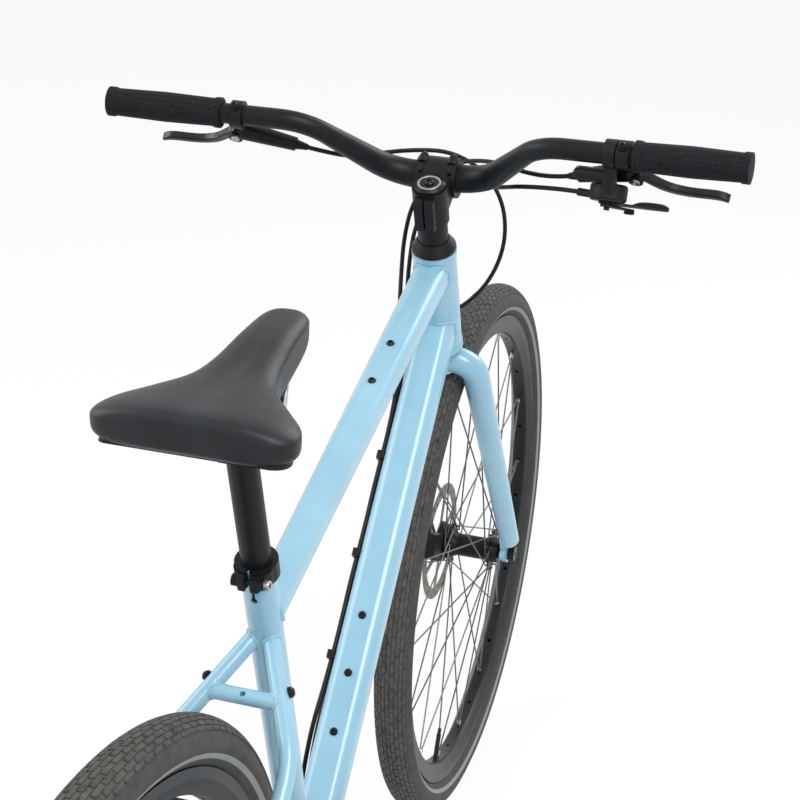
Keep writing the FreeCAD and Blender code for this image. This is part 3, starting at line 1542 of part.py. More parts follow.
def saddle_wire(x, half, crown, shoulder, foot, inset):
    """One saddle section: a crowned top, drawn-in sides and a flat foot."""
    side = half - inset
    base = half - inset - 4
    flank = (shoulder + foot) / 2

    def at(y, z):
        return saddle_middle + V(x, y, z)

    crest = at(side * 0.80, crown - (crown - shoulder) * 0.42)
    across = V(crest.x, -crest.y, crest.z)
    return Part.Wire([
        Part.Arc(crest, at(0, crown), across).toShape(),
        Part.Arc(across, at(-side, shoulder), at(-side + 0.5, flank)).toShape(),
        Part.LineSegment(at(-side + 0.5, flank), at(-base, foot)).toShape(),
        Part.LineSegment(at(-base, foot), at(base, foot)).toShape(),
        Part.LineSegment(at(base, foot), at(side - 0.5, flank)).toShape(),
        Part.Arc(at(side - 0.5, flank), at(side, shoulder), crest).toShape()])


def saddle_form():
    return Part.makeLoft([saddle_wire(*row, 0) for row in saddle_sections], True, False)


def saddle_base_form():
    """The moulded shell under the padding, set in from its edge."""
    wires = []
    for x, half, crown, shoulder, foot in saddle_sections[1:-1]:
        inner = half - 7
        top = foot + saddle_shell
        outline = ((-inner, foot - 1), (inner, foot - 1), (inner - 2, top), (-inner + 2, top))
        points = [saddle_middle + V(x, y, z) for y, z in outline]
        wires.append(Part.makePolygon(points + points[:1]))
    return Part.makeLoft(wires, True, False)


def make_saddle():
    base = saddle_base_form()
    cover = largest(saddle_form().cut(base).cut(Part.makeCompound(rails())))
    sockets = []
    for place in (rail_points()[0], rail_points()[3]):
        for side in (1, -1):
            spot = V(place.x, side * place.y, place.z)
            sockets.append(Part.makeBox(16, 12, 10, spot + V(-8, -6, -5)))
    rear = fused([base] + [box.cut(saddle_form()) for box in sockets])
    return cover, largest(rear.cut(Part.makeCompound(rails())))


# Drivetrain


def cassette_place(index):
    return -(chainline + (index - driven_cog) * cog_spacing)


def make_cassette(phase):
    bore = axle_diameter / 2 + running_gap
    first = cassette_place(0)
    last = cassette_place(len(cog_teeth) - 1)
    carrier = 17.0
    inner_end = first + 4.5
    outer_end = last - 3.0
    body = rod(rear_axle + SIDE * inner_end, rear_axle + SIDE * outer_end, carrier)
    cogs = []
    for index, teeth in enumerate(cog_teeth):
        centre = rear_axle + SIDE * cassette_place(index)
        cog = sprocket(teeth, cog_thickness, centre, phase)
        if teeth > 18:
            windows = []
            inner = carrier + 7
            outer = pitch_radius(teeth) - 9
            if outer - inner > 6:
                place = centre + UP * ((inner + outer) / 2)
                slot = rod(place - SIDE * cog_spacing, place + SIDE * cog_spacing, (outer - inner) / 2)
                for turn in range(cog_windows):
                    windows.append(slot.rotated(centre, SIDE, turn * 360 / cog_windows + index * 9))
                cog = cog.cut(Part.makeCompound(windows))
        cogs.append(cog)
    body = fused([body] + cogs)
    cap_face = end_cap_length + seat_gap - rear_spacing / 2
    recess = rod(rear_axle + SIDE * cap_face, rear_axle + SIDE * (outer_end - 5),
                 end_cap_diameter / 2 + seat_gap)
    return body.cut(rod(rear_axle, rear_axle + SIDE * (outer_end - 5), bore)).cut(recess)


def crank_way():
    angle = math.radians(crank_angle)
    return V(math.cos(angle), 0, math.sin(angle))


crank_inner = 56.0             # inner face of each crank arm from the middle


def crank_arm(side):
    way = crank_way() * (1 if side < 0 else -1)
    base = bottom_bracket + SIDE * (side * crank_inner)
    tip = base + way * crank_length
    out = SIDE * (side * crank_thickness)
    rise = V(-way.z, 0, way.x)
    root_half = rise * (crank_root_width / 2 - 3)
    tip_half = rise * (crank_tip_width / 2 - 2)
    beam = slab([base + root_half, tip + tip_half, tip - tip_half, base - root_half], out)
    beam = beam.makeFillet(3.0, edges_along(beam, way))
    ends = [Part.makeCylinder(crank_root_width / 2, crank_thickness, base, out),
            Part.makeCylinder(crank_tip_width / 2, crank_thickness, tip, out)]
    axle = Part.makeCylinder(pedal_axle_diameter / 2, pedal_length + 6, tip + out, SIDE * side)
    flange = Part.makeCylinder(8.0, 4.0, tip + out, SIDE * side)
    dust_cap = Part.makeCylinder(9.0, 1.5, base + out, SIDE * side)
    return fused([beam] + ends + [axle, flange, dust_cap])


def spider_turns(shape, centre):
    """A shape at each of the chainring's bolts."""
    step = 360 / ring_bolts
    return [shape.rotated(centre, SIDE, (index + 0.5) * step - crank_angle) for index in range(ring_bolts)]


def make_crankset():
    """The spindle with both arms, the right arm's spider and the pedal axles."""
    reach = SIDE * (crank_inner + 4)
    spindle = rod(bottom_bracket - reach, bottom_bracket + reach, spindle_diameter / 2)
    place = bottom_bracket - SIDE * crank_inner
    thickness = crank_inner - chainline - cog_thickness / 2
    hub_overlap = 2.0
    spider = [Part.makeCylinder(spider_hub_radius, thickness + hub_overlap, place - SIDE * hub_overlap, SIDE)]
    root = 8.0
    corner = V(-spider_arm_width / 2, 0, root)
    arm = Part.makeBox(spider_arm_width, spider_thickness, bolt_circle / 2 - root, corner)
    end = Part.makeCylinder(spider_end_radius, spider_thickness, V(0, 0, bolt_circle / 2), SIDE)
    for shape in (arm, end):
        shape.translate(bottom_bracket - SIDE * (chainline + cog_thickness / 2 + spider_thickness))
        spider += spider_turns(shape, bottom_bracket)
    return fused([spindle, crank_arm(1), crank_arm(-1)] + spider)


def make_chainring(phase):
    centre = chain_plane(bottom_bracket)
    disc = sprocket(ring_teeth, cog_thickness, centre, phase)
    half = SIDE * (cog_thickness / 2)
    disc = disc.cut(rod(centre - half * 3, centre + half * 3, bolt_circle / 2 - 7))
    place = UP * (bolt_circle / 2)
    lug = Part.makeCylinder(9.0, cog_thickness, centre - half + place, SIDE)
    nut = Part.makeCylinder(5.0, 1.6, centre + half + place, SIDE)
    disc = fused([disc] + spider_turns(lug, centre) + spider_turns(nut, centre))
    windows = []
    spot = centre + UP * 63
    slot = rod(spot - half * 3, spot + half * 3, 5.5)
    for index in range(ring_windows):
        windows.append(slot.rotated(centre, SIDE, (index + 0.5) * 360 / ring_windows - crank_angle))
    return disc.cut(Part.makeCompound(windows))


def make_pedal(side):
    """A platform pedal: an open cage round its bearing barrel, with rows of grip studs."""
    way = crank_way() * (1 if side < 0 else -1)
    tip = bottom_bracket + SIDE * (side * (crank_inner + crank_thickness)) + way * crank_length
    start = tip + SIDE * (side * 5)
    barrel = Part.makeCylinder(pedal_barrel, pedal_length - 2, start, SIDE * side)
    low = start + V(-pedal_width / 2, 0 if side > 0 else -pedal_length, -pedal_thickness / 2)
    plate = Part.makeBox(pedal_width, pedal_length, pedal_thickness, low)
    plate = plate.makeFillet(pedal_rim, edges_along(plate, UP))
    rib = 8.0
    room_length = (pedal_length - 2 * pedal_rim - rib) / 2
    room_width = pedal_width / 2 - pedal_barrel - pedal_rim
    for y in (pedal_rim, pedal_rim + room_length + rib):
        for x in (pedal_barrel, -pedal_barrel - room_width):
            corner = V(start.x + x, low.y + y, low.z - pedal_thickness)
            plate = plate.cut(Part.makeBox(room_width, room_length, pedal_thickness * 3, corner))
    waist_depth = 3.0
    margin = 15.0
    corner = V(low.x + margin, low.y - 1, 0)
    waist = Part.makeBox(pedal_width - 2 * margin, pedal_length + 2, 2 * waist_depth, corner)
    for end in (1, -1):
        plate = plate.cut(waist.translated(V(0, 0, start.z + end * pedal_thickness / 2 - waist_depth)))
    studs = []
    for across in (-1, 1):
        for index in range(stud_rows):
            along = stud_margin + index * (pedal_length - 2 * stud_margin) / (stud_rows - 1)
            spot = V(start.x + across * (pedal_width / 2 - 5), low.y + along, low.z - stud_height)
            studs.append(Part.makeCylinder(2.2, pedal_thickness + 2 * stud_height, spot, UP))
    body = fused([plate, barrel] + studs)
    radius = pedal_axle_diameter / 2 + running_gap
    bore = Part.makeCylinder(radius, pedal_length + 8, start - SIDE * (side * 4), SIDE * side)
    return largest(body.cut(bore))


# Rear derailleur


link_length = 36.0
link_gap = 15.0
link_pin = 2.5
link_eye = 4.2                 # radius round each pin
link_cheek = 2.4
tongue_half = 4.0
cheek_start = 4.4              # inside of each cheek from the link's middle
cheek_end = cheek_start + link_cheek
knuckle_length = 18.0
hanger_stud_radius = 5.0
knuckle_y = -(rear_spacing / 2 + dropout_thickness + seat_gap)
mech_lean = unit(guide_centre - V(hanger_bolt.x, guide_centre.y, hanger_bolt.z))
mech_axis = V(-mech_lean.z, 0, mech_lean.x)
upper_pivot = V(hanger_bolt.x, knuckle_y - 9, hanger_bolt.z) + mech_lean * 13 + mech_axis * 13
lower_pivot = upper_pivot + mech_lean * link_length


def pivot_at(base, outer):
    return base + SIDE * (-link_gap / 2 if outer else link_gap / 2)


def make_mech_mount():
    """The upper knuckle: a barrel on the hanger bolt with a tongue for the two links."""
    centre = V(hanger_bolt.x, knuckle_y, hanger_bolt.z)
    barrel = Part.makeCylinder(upper_knuckle_radius, knuckle_length, centre, SIDE * -1)
    through = SIDE * (dropout_thickness + seat_gap)
    stud = rod(centre + through, centre - SIDE * knuckle_length, hanger_stud_radius)
    stop = rod(cable_stop(), cable_stop() + V(22, 0, 0), 4.5)
    return fused([barrel, stud, stop] + tongue(upper_pivot, centre - SIDE * (knuckle_length / 2)))


def tongue(pivot, root):
    """A block between two pins, one for each link, joined to its knuckle."""
    shapes = []
    half = mech_axis * tongue_half
    pin_half = mech_axis * (cheek_end + 1.7)
    for outer in (True, False):
        spot = pivot_at(pivot, outer)
        shapes.append(rod(spot - pin_half, spot + pin_half, link_pin))
        shapes.append(rod(spot - half, spot + half, link_eye))
    low = pivot_at(pivot, True)
    high = pivot_at(pivot, False)
    thick = mech_lean * 3.4
    corners = [low - thick - half, high - thick - half, high + thick - half, low + thick - half]
    shapes.append(slab(corners, half * 2))
    shapes.append(rod(root, V(pivot.x, root.y, pivot.z), 3.0))
    return shapes


def make_mech_link(outer):
    """One parallelogram link: a web with a pair of drilled cheeks at each end."""
    shapes = []
    top = pivot_at(upper_pivot, outer)
    low = pivot_at(lower_pivot, outer)
    away = SIDE * (-1 if outer else 1)
    back = away * 5.6
    front = away * -1.5
    for place in (cheek_start, -cheek_end):
        start = mech_axis * place
        for spot in (top, low):
            shapes.append(Part.makeCylinder(link_eye, link_cheek, spot + start, mech_axis))
        corners = [top + start + back, low + start + back, low + start + front, top + start + front]
        shapes.append(slab(corners, mech_axis * link_cheek))
    first = top - mech_axis * cheek_end + away * 6.1 + mech_lean
    width = mech_axis * (2 * cheek_end)
    length = mech_lean * (link_length - 2)
    shapes.append(slab([first, first + width, first + width + length, first + length], away * -1.5))
    body = fused(shapes)
    for spot in (top, low):
        body = body.cut(rod(spot - width, spot + width, link_pin + running_gap))
    return largest(body)


def make_mech_knuckle():
    """The lower knuckle, which carries the cage's pivot."""
    outer_plate = -chainline - cage_half_gap - cage_plate
    centre = V(guide_centre.x, outer_plate - seat_gap, guide_centre.z)
    length = abs(lower_pivot.y) + 4 - abs(centre.y)
    barrel = Part.makeCylinder(lower_knuckle_radius, length, centre, SIDE * -1)
    stub = rod(centre + SIDE * (cage_plate + seat_gap), centre, cage_stub_radius)
    root = V(guide_centre.x, lower_pivot.y, guide_centre.z)
    return fused([barrel, stub] + tongue(lower_pivot, root))


def make_cage(loop):
    """Two pulley plates joined by the pulleys' bolts."""
    tension = loop.tension
    way = unit(tension - guide_centre)
    across = V(-way.z, 0, way.x)
    shapes = []
    for place in (cage_half_gap, -cage_half_gap - cage_plate):
        base = guide_centre + SIDE * place
        end = tension + SIDE * place
        plate = [Part.makeCylinder(13.0, cage_plate, base, SIDE),
                 Part.makeCylinder(12.0, cage_plate, end, SIDE)]
        corners = [base + across * 9, end + across * 7, end - across * 7, base - across * 9]
        plate.append(slab(corners, SIDE * cage_plate))
        middle = base + way * (cage_length / 2)
        shapes.append(fused(plate).cut(rod(middle, middle + SIDE * cage_plate, 4.5)))
    for point in (guide_centre, tension):
        head = point + SIDE * (cage_half_gap + cage_plate + 1.5)
        shapes.append(rod(point - SIDE * cage_half_gap, head, pulley_bolt_radius))
    stub = rod(guide_centre - SIDE * 20, guide_centre - SIDE * cage_half_gap, cage_stub_radius + running_gap)
    return fused(shapes).cut(stub)


def make_pulley(centre, phase):
    wheel = sprocket(pulley_teeth, pulley_thickness, centre, phase)
    half = SIDE * 4.6
    body = fused([wheel, rod(centre - half, centre + half, 7.5)])
    bores = [rod(centre - half * 2, centre + half * 2, pulley_bolt_radius + running_gap)]
    spot = centre + UP * 12
    hole = rod(spot - half * 2, spot + half * 2, 2.6)
    for index in range(pulley_holes):
        bores.append(hole.rotated(centre, SIDE, index * 360 / pulley_holes + 20))
    return body.cut(Part.makeCompound(bores))


# Hoses and cable


def lever_port(place):
    """The end of a master cylinder's boot and a place straight out of it, on the left."""
    start = lever_point(place, 0, lever_pivot_drop - 2)
    tip = lever_point(place, -cylinder_length, lever_pivot_drop + cylinder_spread)
    way = unit(tip - start)
    port = tip + way * boot_length
    return [port, port + way * hose_lead]


def swapped(points):
    return [V(point.x, -point.y, point.z) for point in points]


def beside_down_tube(height, places):
    """Places along the down tube's left side, as (distance back from the head tube, out from the middle)."""
    return [down_tube_end - down_way * back + V(0, out, 0) + down_up * height for back, out in places]


def under_chain_stay(share):
    """A place one hose below the left chain stay, at a share of its straight run."""
    on_axis = chain_stay_knee + (chain_stay_end - chain_stay_knee) * share
    return on_axis - UP * (chain_stay_diameter / 2 + hose_diameter)


def front_hose_points():
    port, outward = caliper_port(front_axle, caliper_turn_front, front_spacing / 2 - front_rotor_inset)
    return lever_port(left_lever_place) + [
        V(310, 92, 947), V(338, 72, 947), V(366, 42, 947), V(388, 4, 944), V(403, -32, 922), V(412, -54, 886),
        V(414, -60, 842), V(412, -50, 800), V(409, -28, 765), V(406, 4, 740), V(398, 38, 722), V(392, 60, 696),
        V(400, 68, 656), V(417, 69, 612), V(430, 69, 560), V(424, 62, 502), V(412, 52, 452),
        port + outward * caliper_lead, port]


def rear_hose_points():
    port, outward = caliper_port(rear_axle, caliper_turn_rear, rear_spacing / 2 - rear_rotor_inset)
    run = beside_down_tube(5, ((92, 28), (150, 25), (208, 26), (266, 25), (324, 26), (382, 25), (440, 26),
                               (498, 29)))
    return swapped(lever_port(right_lever_place)) + [
        V(310, -98, 951), V(338, -70, 949), V(364, -42, 944), V(385, -8, 934), V(392, 26, 912), V(383, 46, 880),
        V(366, 50, 842), V(346, 46, 800), V(316, 38, 750)] + run + [
        V(-14, 35, 322), V(-56, 36, 272), V(-108, 37, 260), V(-160, 37, 284), under_chain_stay(0.07),
        under_chain_stay(0.38), V(-346, 66, 318), V(-376, 71, 338), V(-394, 70, 370),
        port + outward * caliper_lead, port]


def shift_cable_points():
    run = beside_down_tube(-6, ((100, 27), (158, 25), (216, 26), (274, 25), (332, 26), (390, 25), (448, 26),
                                (506, 25.5)))
    outlet = shifter_outlet()
    lead = [outlet[1], outlet[1] + unit(outlet[1] - outlet[0]) * hose_lead]
    under = swapped([under_chain_stay(share) for share in (0.07, 0.40)])
    rear = cable_stop()
    loop = 30.0
    half = loop * math.tan(math.radians(22.5))
    top = rear.z + 2 * loop
    back = rear.x - 24.0
    far = back - loop + half
    return swapped(lead) + [
        V(300, -100, 938), V(334, -70, 924), V(358, -38, 915), V(374, -4, 904), V(378, 26, 886), V(369, 38, 856),
        V(354, 39, 820), V(338, 36, 778), V(322, 29, 736)] + run + [
        V(-20, 25.5, 328), V(-62, 18, 268), V(-108, -4, 256), V(-156, -24, 272)] + under + [
        V(-372, -66, 319), V(-426, -80, 336), V(-480, -90, 358), V(rear.x + 26, -96, top),
        V(back, -96, top), V(far, -94, top - loop + half), V(far, -90, rear.z + loop - half),
        V(back, rear.y, rear.z), rear]


def cable_stop():
    """The rear end of the derailleur's cable stop."""
    return V(hanger_bolt.x - 22, knuckle_y - 10, hanger_bolt.z - 12)


def make_hose(points, name):
    path = rounded_path(points)
    radii = [edge.Curve.Radius for edge in path.Edges if edge.Curve.TypeId == "Part::GeomCircle"]
    shape = tube(points, hose_diameter / 2)
    ratio = shape.Volume / (math.pi * hose_diameter ** 2 / 4 * path.Length)
    print(name, "length", round(path.Length), "least radius", round(min(radii)),
          "volume ratio", round(ratio, 3))
    return shape


clip_places = (179, 295, 411)    # down the tube from its top
clip_length = 9.0
clip_depth = 9.0
clip_height = 22.0


def make_clips(hoses):
    """Clips that hold the hose and the cable against the down tube's left side."""
    clips = []
    side = down_tube_width / 2
    turn = FreeCAD.Rotation(down_way, SIDE, down_up, "ZXY")
    for back in clip_places:
        middle = down_tube_end - down_way * back
        block = Part.makeBox(clip_length, clip_depth, clip_height, V(-clip_length / 2, side, -clip_height / 2))
        block.Placement = FreeCAD.Placement(V(middle.x, 0, middle.z), turn)
        outer = [edge for edge in edges_along(block, down_way)
                 if edge.Vertexes[0].Point.y > side + clip_depth / 2]
        clips.append(largest(block.makeFillet(2.5, outer).cut(hoses)))
    return Part.makeCompound(clips)


def build():
    loop, cage_turn = settled_loop()
    print("chain links", loop.links, "cage angle", round(math.degrees(cage_turn), 1))
    front_rotor_place = front_spacing / 2 - front_rotor_inset
    rear_rotor_place = rear_spacing / 2 - rear_rotor_inset
    front_end = front_spacing / 2 - end_cap_length - seat_gap
    rear_end = rear_spacing / 2 - end_cap_length - seat_gap
    cassette_end = cassette_place(0) + 4.5 + seat_gap
    cover, base = make_saddle()
    front_hose = make_hose(front_hose_points(), "front brake hose")
    rear_hose = make_hose(rear_hose_points(), "rear brake hose")
    shift_cable = make_hose(shift_cable_points(), "shift cable")
    nodes = {
        "head_tube": make_head_tube(),
        "top_tube": make_top_tube(),
        "down_tube": make_down_tube(),
        "seat_tube": make_seat_tube(),
        "bottom_bracket_shell": make_shell(),
        "seat_stays": make_seat_stays(),
        "chain_stays": make_chain_stays(),
        "rear_dropouts": make_dropouts(),
        "bearing_cups": make_bearings(),
        "seat_collar": make_collar(),
        "frame_bolts": make_frame_bolts(),
        "rear_axle": make_axle(rear_axle, rear_spacing, dropout_thickness),
        "front_axle": make_axle(front_axle, front_spacing, fork_dropout_thickness),
        "rear_caliper": make_caliper(rear_axle, caliper_turn_rear, rear_rotor_place),
        "front_caliper": make_caliper(front_axle, caliper_turn_front, front_rotor_place),
        "fork": make_fork(),
        "headset_spacers": make_headset(),
        "stem": make_stem(),
        "stem_faceplate": make_faceplate(),
        "stem_bolts": make_stem_bolts(),
        "handlebar": make_handlebar(),
        "grips": make_grips(),
        "lever_mounts": make_lever_mounts(),
        "brake_lever_left": make_lever(left_lever_place),
        "brake_lever_right": mirrored(make_lever(right_lever_place)),
        "shifter_body": make_shifter(),
        "thumb_lever": make_thumb_lever(),
        "release_lever": make_release_lever(),
        "seat_post": make_seat_post(),
        "saddle_clamp": make_saddle_clamp(),
        "saddle_rails": make_saddle_rails(),
        "saddle_base": base,
        "saddle_cover": cover,
        "front_tyre": make_tyre(front_axle),
        "front_rim": make_rim(front_axle, front_valve_turn),
        "front_spokes": make_spokes(front_axle, front_left_flange, front_right_flange),
        "front_hub": make_hub(front_axle, -front_end, front_end, front_left_flange, front_right_flange,
                              front_rotor_place),
        "front_rotor": make_rotor(front_axle, front_rotor_place, hub_barrel_diameter / 2),
        "rear_tyre": make_tyre(rear_axle),
        "rear_rim": make_rim(rear_axle, rear_valve_turn),
        "rear_spokes": make_spokes(rear_axle, rear_left_flange, rear_right_flange),
        "rear_hub": make_hub(rear_axle, cassette_end, rear_end, rear_left_flange, rear_right_flange,
                             rear_rotor_place),
        "rear_rotor": make_rotor(rear_axle, rear_rotor_place, hub_barrel_diameter / 2),
        "cassette": make_cassette(loop.phase(0)),
        "crankset": make_crankset(),
        "chainring": make_chainring(loop.phase(1)),
        "pedal_left": make_pedal(1),
        "pedal_right": make_pedal(-1),
        "chain": make_chain(loop),
        "derailleur_mount": make_mech_mount(),
        "derailleur_outer_link": make_mech_link(True),
        "derailleur_inner_link": make_mech_link(False),
        "derailleur_knuckle": make_mech_knuckle(),
        "derailleur_cage": make_cage(loop),
        "tension_pulley": make_pulley(loop.tension, loop.phase(2)),
        "guide_pulley": make_pulley(guide_centre, loop.phase(3)),
        "front_brake_hose": front_hose,
        "rear_brake_hose": rear_hose,
        "shift_cable": shift_cable,
        "hose_clips": make_clips(Part.makeCompound([rear_hose, shift_cable])),
    }
    return nodes


os.makedirs("parts", exist_ok=True)
for name, shape in build().items():
    shape.exportStep("parts/" + name + ".step")
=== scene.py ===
import bpy
import bmesh
import math
from mathutils import Matrix, Vector


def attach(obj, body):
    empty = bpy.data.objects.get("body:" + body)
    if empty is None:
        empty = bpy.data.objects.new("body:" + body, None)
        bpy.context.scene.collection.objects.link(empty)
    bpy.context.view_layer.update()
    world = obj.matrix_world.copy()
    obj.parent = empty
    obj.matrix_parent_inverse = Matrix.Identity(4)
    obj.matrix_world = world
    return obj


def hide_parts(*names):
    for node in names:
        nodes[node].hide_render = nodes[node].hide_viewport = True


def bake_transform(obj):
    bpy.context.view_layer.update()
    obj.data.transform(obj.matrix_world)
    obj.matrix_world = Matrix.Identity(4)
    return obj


# A flat-bar hybrid bicycle. Metres in Blender; sizes below are in millimetres and pass through MM.

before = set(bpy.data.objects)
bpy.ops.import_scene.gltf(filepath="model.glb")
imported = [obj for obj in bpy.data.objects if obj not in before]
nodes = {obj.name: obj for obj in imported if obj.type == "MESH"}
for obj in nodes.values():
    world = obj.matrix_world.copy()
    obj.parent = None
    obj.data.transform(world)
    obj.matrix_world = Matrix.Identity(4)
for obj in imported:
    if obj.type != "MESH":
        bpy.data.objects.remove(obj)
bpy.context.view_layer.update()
MM = 0.001
UP = Vector((0, 0, 1))
SIDE = Vector((0, 1, 0))

# Sizes of the frame that the new pieces sit on
rear_axle = Vector((-545, 0, 358))
front_axle = Vector((545, 0, 358))
bottom_bracket = Vector((-96.98, 0, 291))
seat_way = Vector((-0.26050, 0, 0.96547))
steer_way = Vector((-0.33874, 0, 0.94088))
crown_race = Vector((367.81, 0, 714.38))
head_bottom = crown_race + steer_way * 4
head_top = head_bottom + steer_way * 140
top_tube_start = bottom_bracket + seat_way * 388
top_tube_end = head_top - steer_way * 27
down_tube_start = bottom_bracket - UP * 3
down_tube_end = head_bottom + steer_way * 40
stay_root = bottom_bracket + seat_way * 372 + Vector((3, 2, 0))
stay_run = Vector((-90, 55, -70.92))
chain_stay_near = bottom_bracket + Vector((-6, 27, 1))
chain_stay_knee = bottom_bracket + Vector((-93, 38, 13.5))
head_radius = 24.5
seat_tube_radius = 15.9
shell_radius = 21.0


# Mesh helpers

# Faces of a block of eight corners, four below and then four above, open below
BLOCK_FACES = [(4, 5, 6, 7), (0, 1, 5, 4), (1, 2, 6, 5), (2, 3, 7, 6), (3, 0, 4, 7)]
NEAR_SIDEWAYS = 0.8            # share of an axis beyond which it counts as sideways


def add_object(name, data):
    """An object in the scene."""
    thing = bpy.data.objects.new(name, data)
    bpy.context.scene.collection.objects.link(thing)
    return thing


def make_piece(name, points, faces, body, slot, material, smooth=True):
    """A mesh piece from points in millimetres, riding on a body."""
    mesh = bpy.data.meshes.new(name)
    mesh.from_pydata([tuple(Vector(point) * MM) for point in points], [], faces)
    mesh.validate()
    bm = bmesh.new()
    bm.from_mesh(mesh)
    bmesh.ops.recalc_face_normals(bm, faces=bm.faces)
    bm.to_mesh(mesh)
    bm.free()
    for polygon in mesh.polygons:
        polygon.use_smooth = smooth
    piece = add_object(name, mesh)
    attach(piece, body)
    mesh.materials.append(material)
    return piece


def grid_faces(rows, columns, wrap_rows=False):
    """Quads over a grid of points stored row by row, each row closed into a ring."""
    faces = []
    for row in range(rows if wrap_rows else rows - 1):
        below = row * columns
        above = (row + 1) % rows * columns
        for column in range(columns):
            after = (column + 1) % columns
            faces.append((below + column, below + after, above + after, above + column))
    return faces


def capped_faces(rows, columns):
    """Quads over rings of points, with one face over each end."""
    ends = [tuple(range(columns)), tuple(range((rows - 1) * columns, rows * columns))]
    return grid_faces(rows, columns) + ends


def frame_axes(axis):
    """Two directions square to an axis and to each other."""
    helper = SIDE if abs(axis.normalized().dot(SIDE)) < NEAR_SIDEWAYS else Vector((1, 0, 0))
    first = axis.cross(helper).normalized()
    return first, axis.cross(first).normalized()


def lathe(base, axis, outline, segments):
    """Points and faces of an outline of (along, radius) turned about an axis."""
    axis = axis.normalized()
    first, second = frame_axes(axis)
    points = []
    for along, radius in outline:
        for index in range(segments):
            turn = 2 * math.pi * index / segments
            points.append(base + axis * along + first * (radius * math.cos(turn))
                          + second * (radius * math.sin(turn)))
    return points, grid_faces(len(outline), segments)


def joined(parts):
    """The points and faces of several parts as one mesh's."""
    points = []
    faces = []
    for part_points, part_faces in parts:
        shift = len(points)
        points += part_points
        faces += [tuple(index + shift for index in face) for face in part_faces]
    return points, faces


def arc_through(first, middle, last, steps):
    """Points on the circle through three (along, radius) points."""
    ax, ay = first
    bx, by = middle
    cx, cy = last
    scale = 2 * (ax * (by - cy) + bx * (cy - ay) + cx * (ay - by))
    square_a, square_b, square_c = ax * ax + ay * ay, bx * bx + by * by, cx * cx + cy * cy
    ox = (square_a * (by - cy) + square_b * (cy - ay) + square_c * (ay - by)) / scale
    oy = (square_a * (cx - bx) + square_b * (ax - cx) + square_c * (bx - ax)) / scale
    radius = math.hypot(ax - ox, ay - oy)
    start = math.atan2(ay - oy, ax - ox)
    sweep = (math.atan2(cy - oy, cx - ox) - start + math.pi) % (2 * math.pi) - math.pi
    turns = [start + sweep * step / steps for step in range(steps + 1)]
    return [(ox + radius * math.cos(turn), oy + radius * math.sin(turn)) for turn in turns]


# Materials

NOISE_LOW, NOISE_HIGH = 0.3, 0.7               # most of a noise's values lie between these
MIX_FIRST, MIX_SECOND, MIX_RESULT = 6, 7, 2    # a mix node's sockets for colours
patch_grains = 25                              # a patch of tone is this many grains wide
gloss_swing = 0.06                             # how far the grain takes the roughness from its mean
heat_tint = 0.4                                # share of the heat's colour on a disc's band
nipple_start = 281.5                           # distance from the axle at which a spoke's nipple begins
rotor_band = 66.0                              # inner radius of the band that the pads rub
grinding_mark = 0.4                            # real marks are finer; drawn coarse enough to show
tread_edge = 349.0                             # radius beyond which the tyre meets the road's dust
stripe_inner, stripe_outer = 324.5, 329.2      # radii of the reflective stripe


def colour(code):
    """The linear colour of an sRGB hex code."""
    values = [int(code[place:place + 2], 16) / 255 for place in (1, 3, 5)]
    return [v / 12.92 if v <= 0.04045 else ((v + 0.055) / 1.055) ** 2.4 for v in values] + [1.0]


def plug(tree, node, inputs):
    """Sets a node's inputs: another node's socket is linked, anything else is a constant."""
    for key, value in inputs.items():
        if isinstance(value, bpy.types.NodeSocket):
            tree.links.new(value, node.inputs[key])
        else:
            node.inputs[key].default_value = value


def add(tree, kind, inputs=None, output=0, **settings):
    """Adds a node with its settings and links, and gives one of its outputs."""
    node = tree.nodes.new(kind)
    for key, value in settings.items():
        setattr(node, key, value)
    plug(tree, node, inputs or {})
    return node.outputs[output] if node.outputs else None


def new_material(name):
    """A material, its nodes and the place on the object."""
    material = bpy.data.materials.new(name)
    material.use_nodes = True
    tree = material.node_tree
    return material, tree, add(tree, "ShaderNodeTexCoord", output="Object")


def two_tones(tree, where, size, detail, dark, light):
    """Two close tones in soft patches, the largest about this size in millimetres."""
    cloud = add(tree, "ShaderNodeTexNoise",
                {"Vector": where, "Scale": 1 / (size * MM), "Detail": detail}, "Fac")
    share = add(tree, "ShaderNodeMapRange", {"Value": cloud, "From Min": NOISE_LOW, "From Max": NOISE_HIGH})
    return add(tree, "ShaderNodeMix", {"Factor": share, MIX_FIRST: colour(dark), MIX_SECOND: colour(light)},
               MIX_RESULT, data_type="RGBA")


def grained(name, dark, light, grain, roughness, depth, others):
    """A finish of two close tones with a fine grain in its gloss and its surface.

    The grain and its depth are in millimetres. Where the real grain is too fine to show, it is drawn coarser.
    """
    material, tree, where = new_material(name)
    tone = two_tones(tree, where, grain * patch_grains, 4.0, dark, light)
    fine = add(tree, "ShaderNodeTexNoise", {"Vector": where, "Scale": 1 / (grain * MM), "Detail": 2.0}, "Fac")
    gloss = add(tree, "ShaderNodeMapRange", {
        "Value": fine, "From Min": NOISE_LOW, "From Max": NOISE_HIGH,
        "To Min": roughness - gloss_swing, "To Max": roughness + gloss_swing})
    bump = add(tree, "ShaderNodeBump", {"Height": fine, "Distance": depth * MM, "Strength": 1.0})
    plug(tree, tree.nodes["Principled BSDF"], {
        "Base Color": tone, "Roughness": gloss, "Normal": bump, **others})
    return material


def wheel_radius(tree, where, axle):
    """Distance from a wheel's axle, in metres."""
    offset = add(tree, "ShaderNodeVectorMath", {0: where, 1: tuple(axle * MM)}, operation="SUBTRACT")
    flat = add(tree, "ShaderNodeVectorMath", {0: offset, 1: (1, 0, 1)}, operation="MULTIPLY")
    return add(tree, "ShaderNodeVectorMath", {0: flat}, "Value", operation="LENGTH")


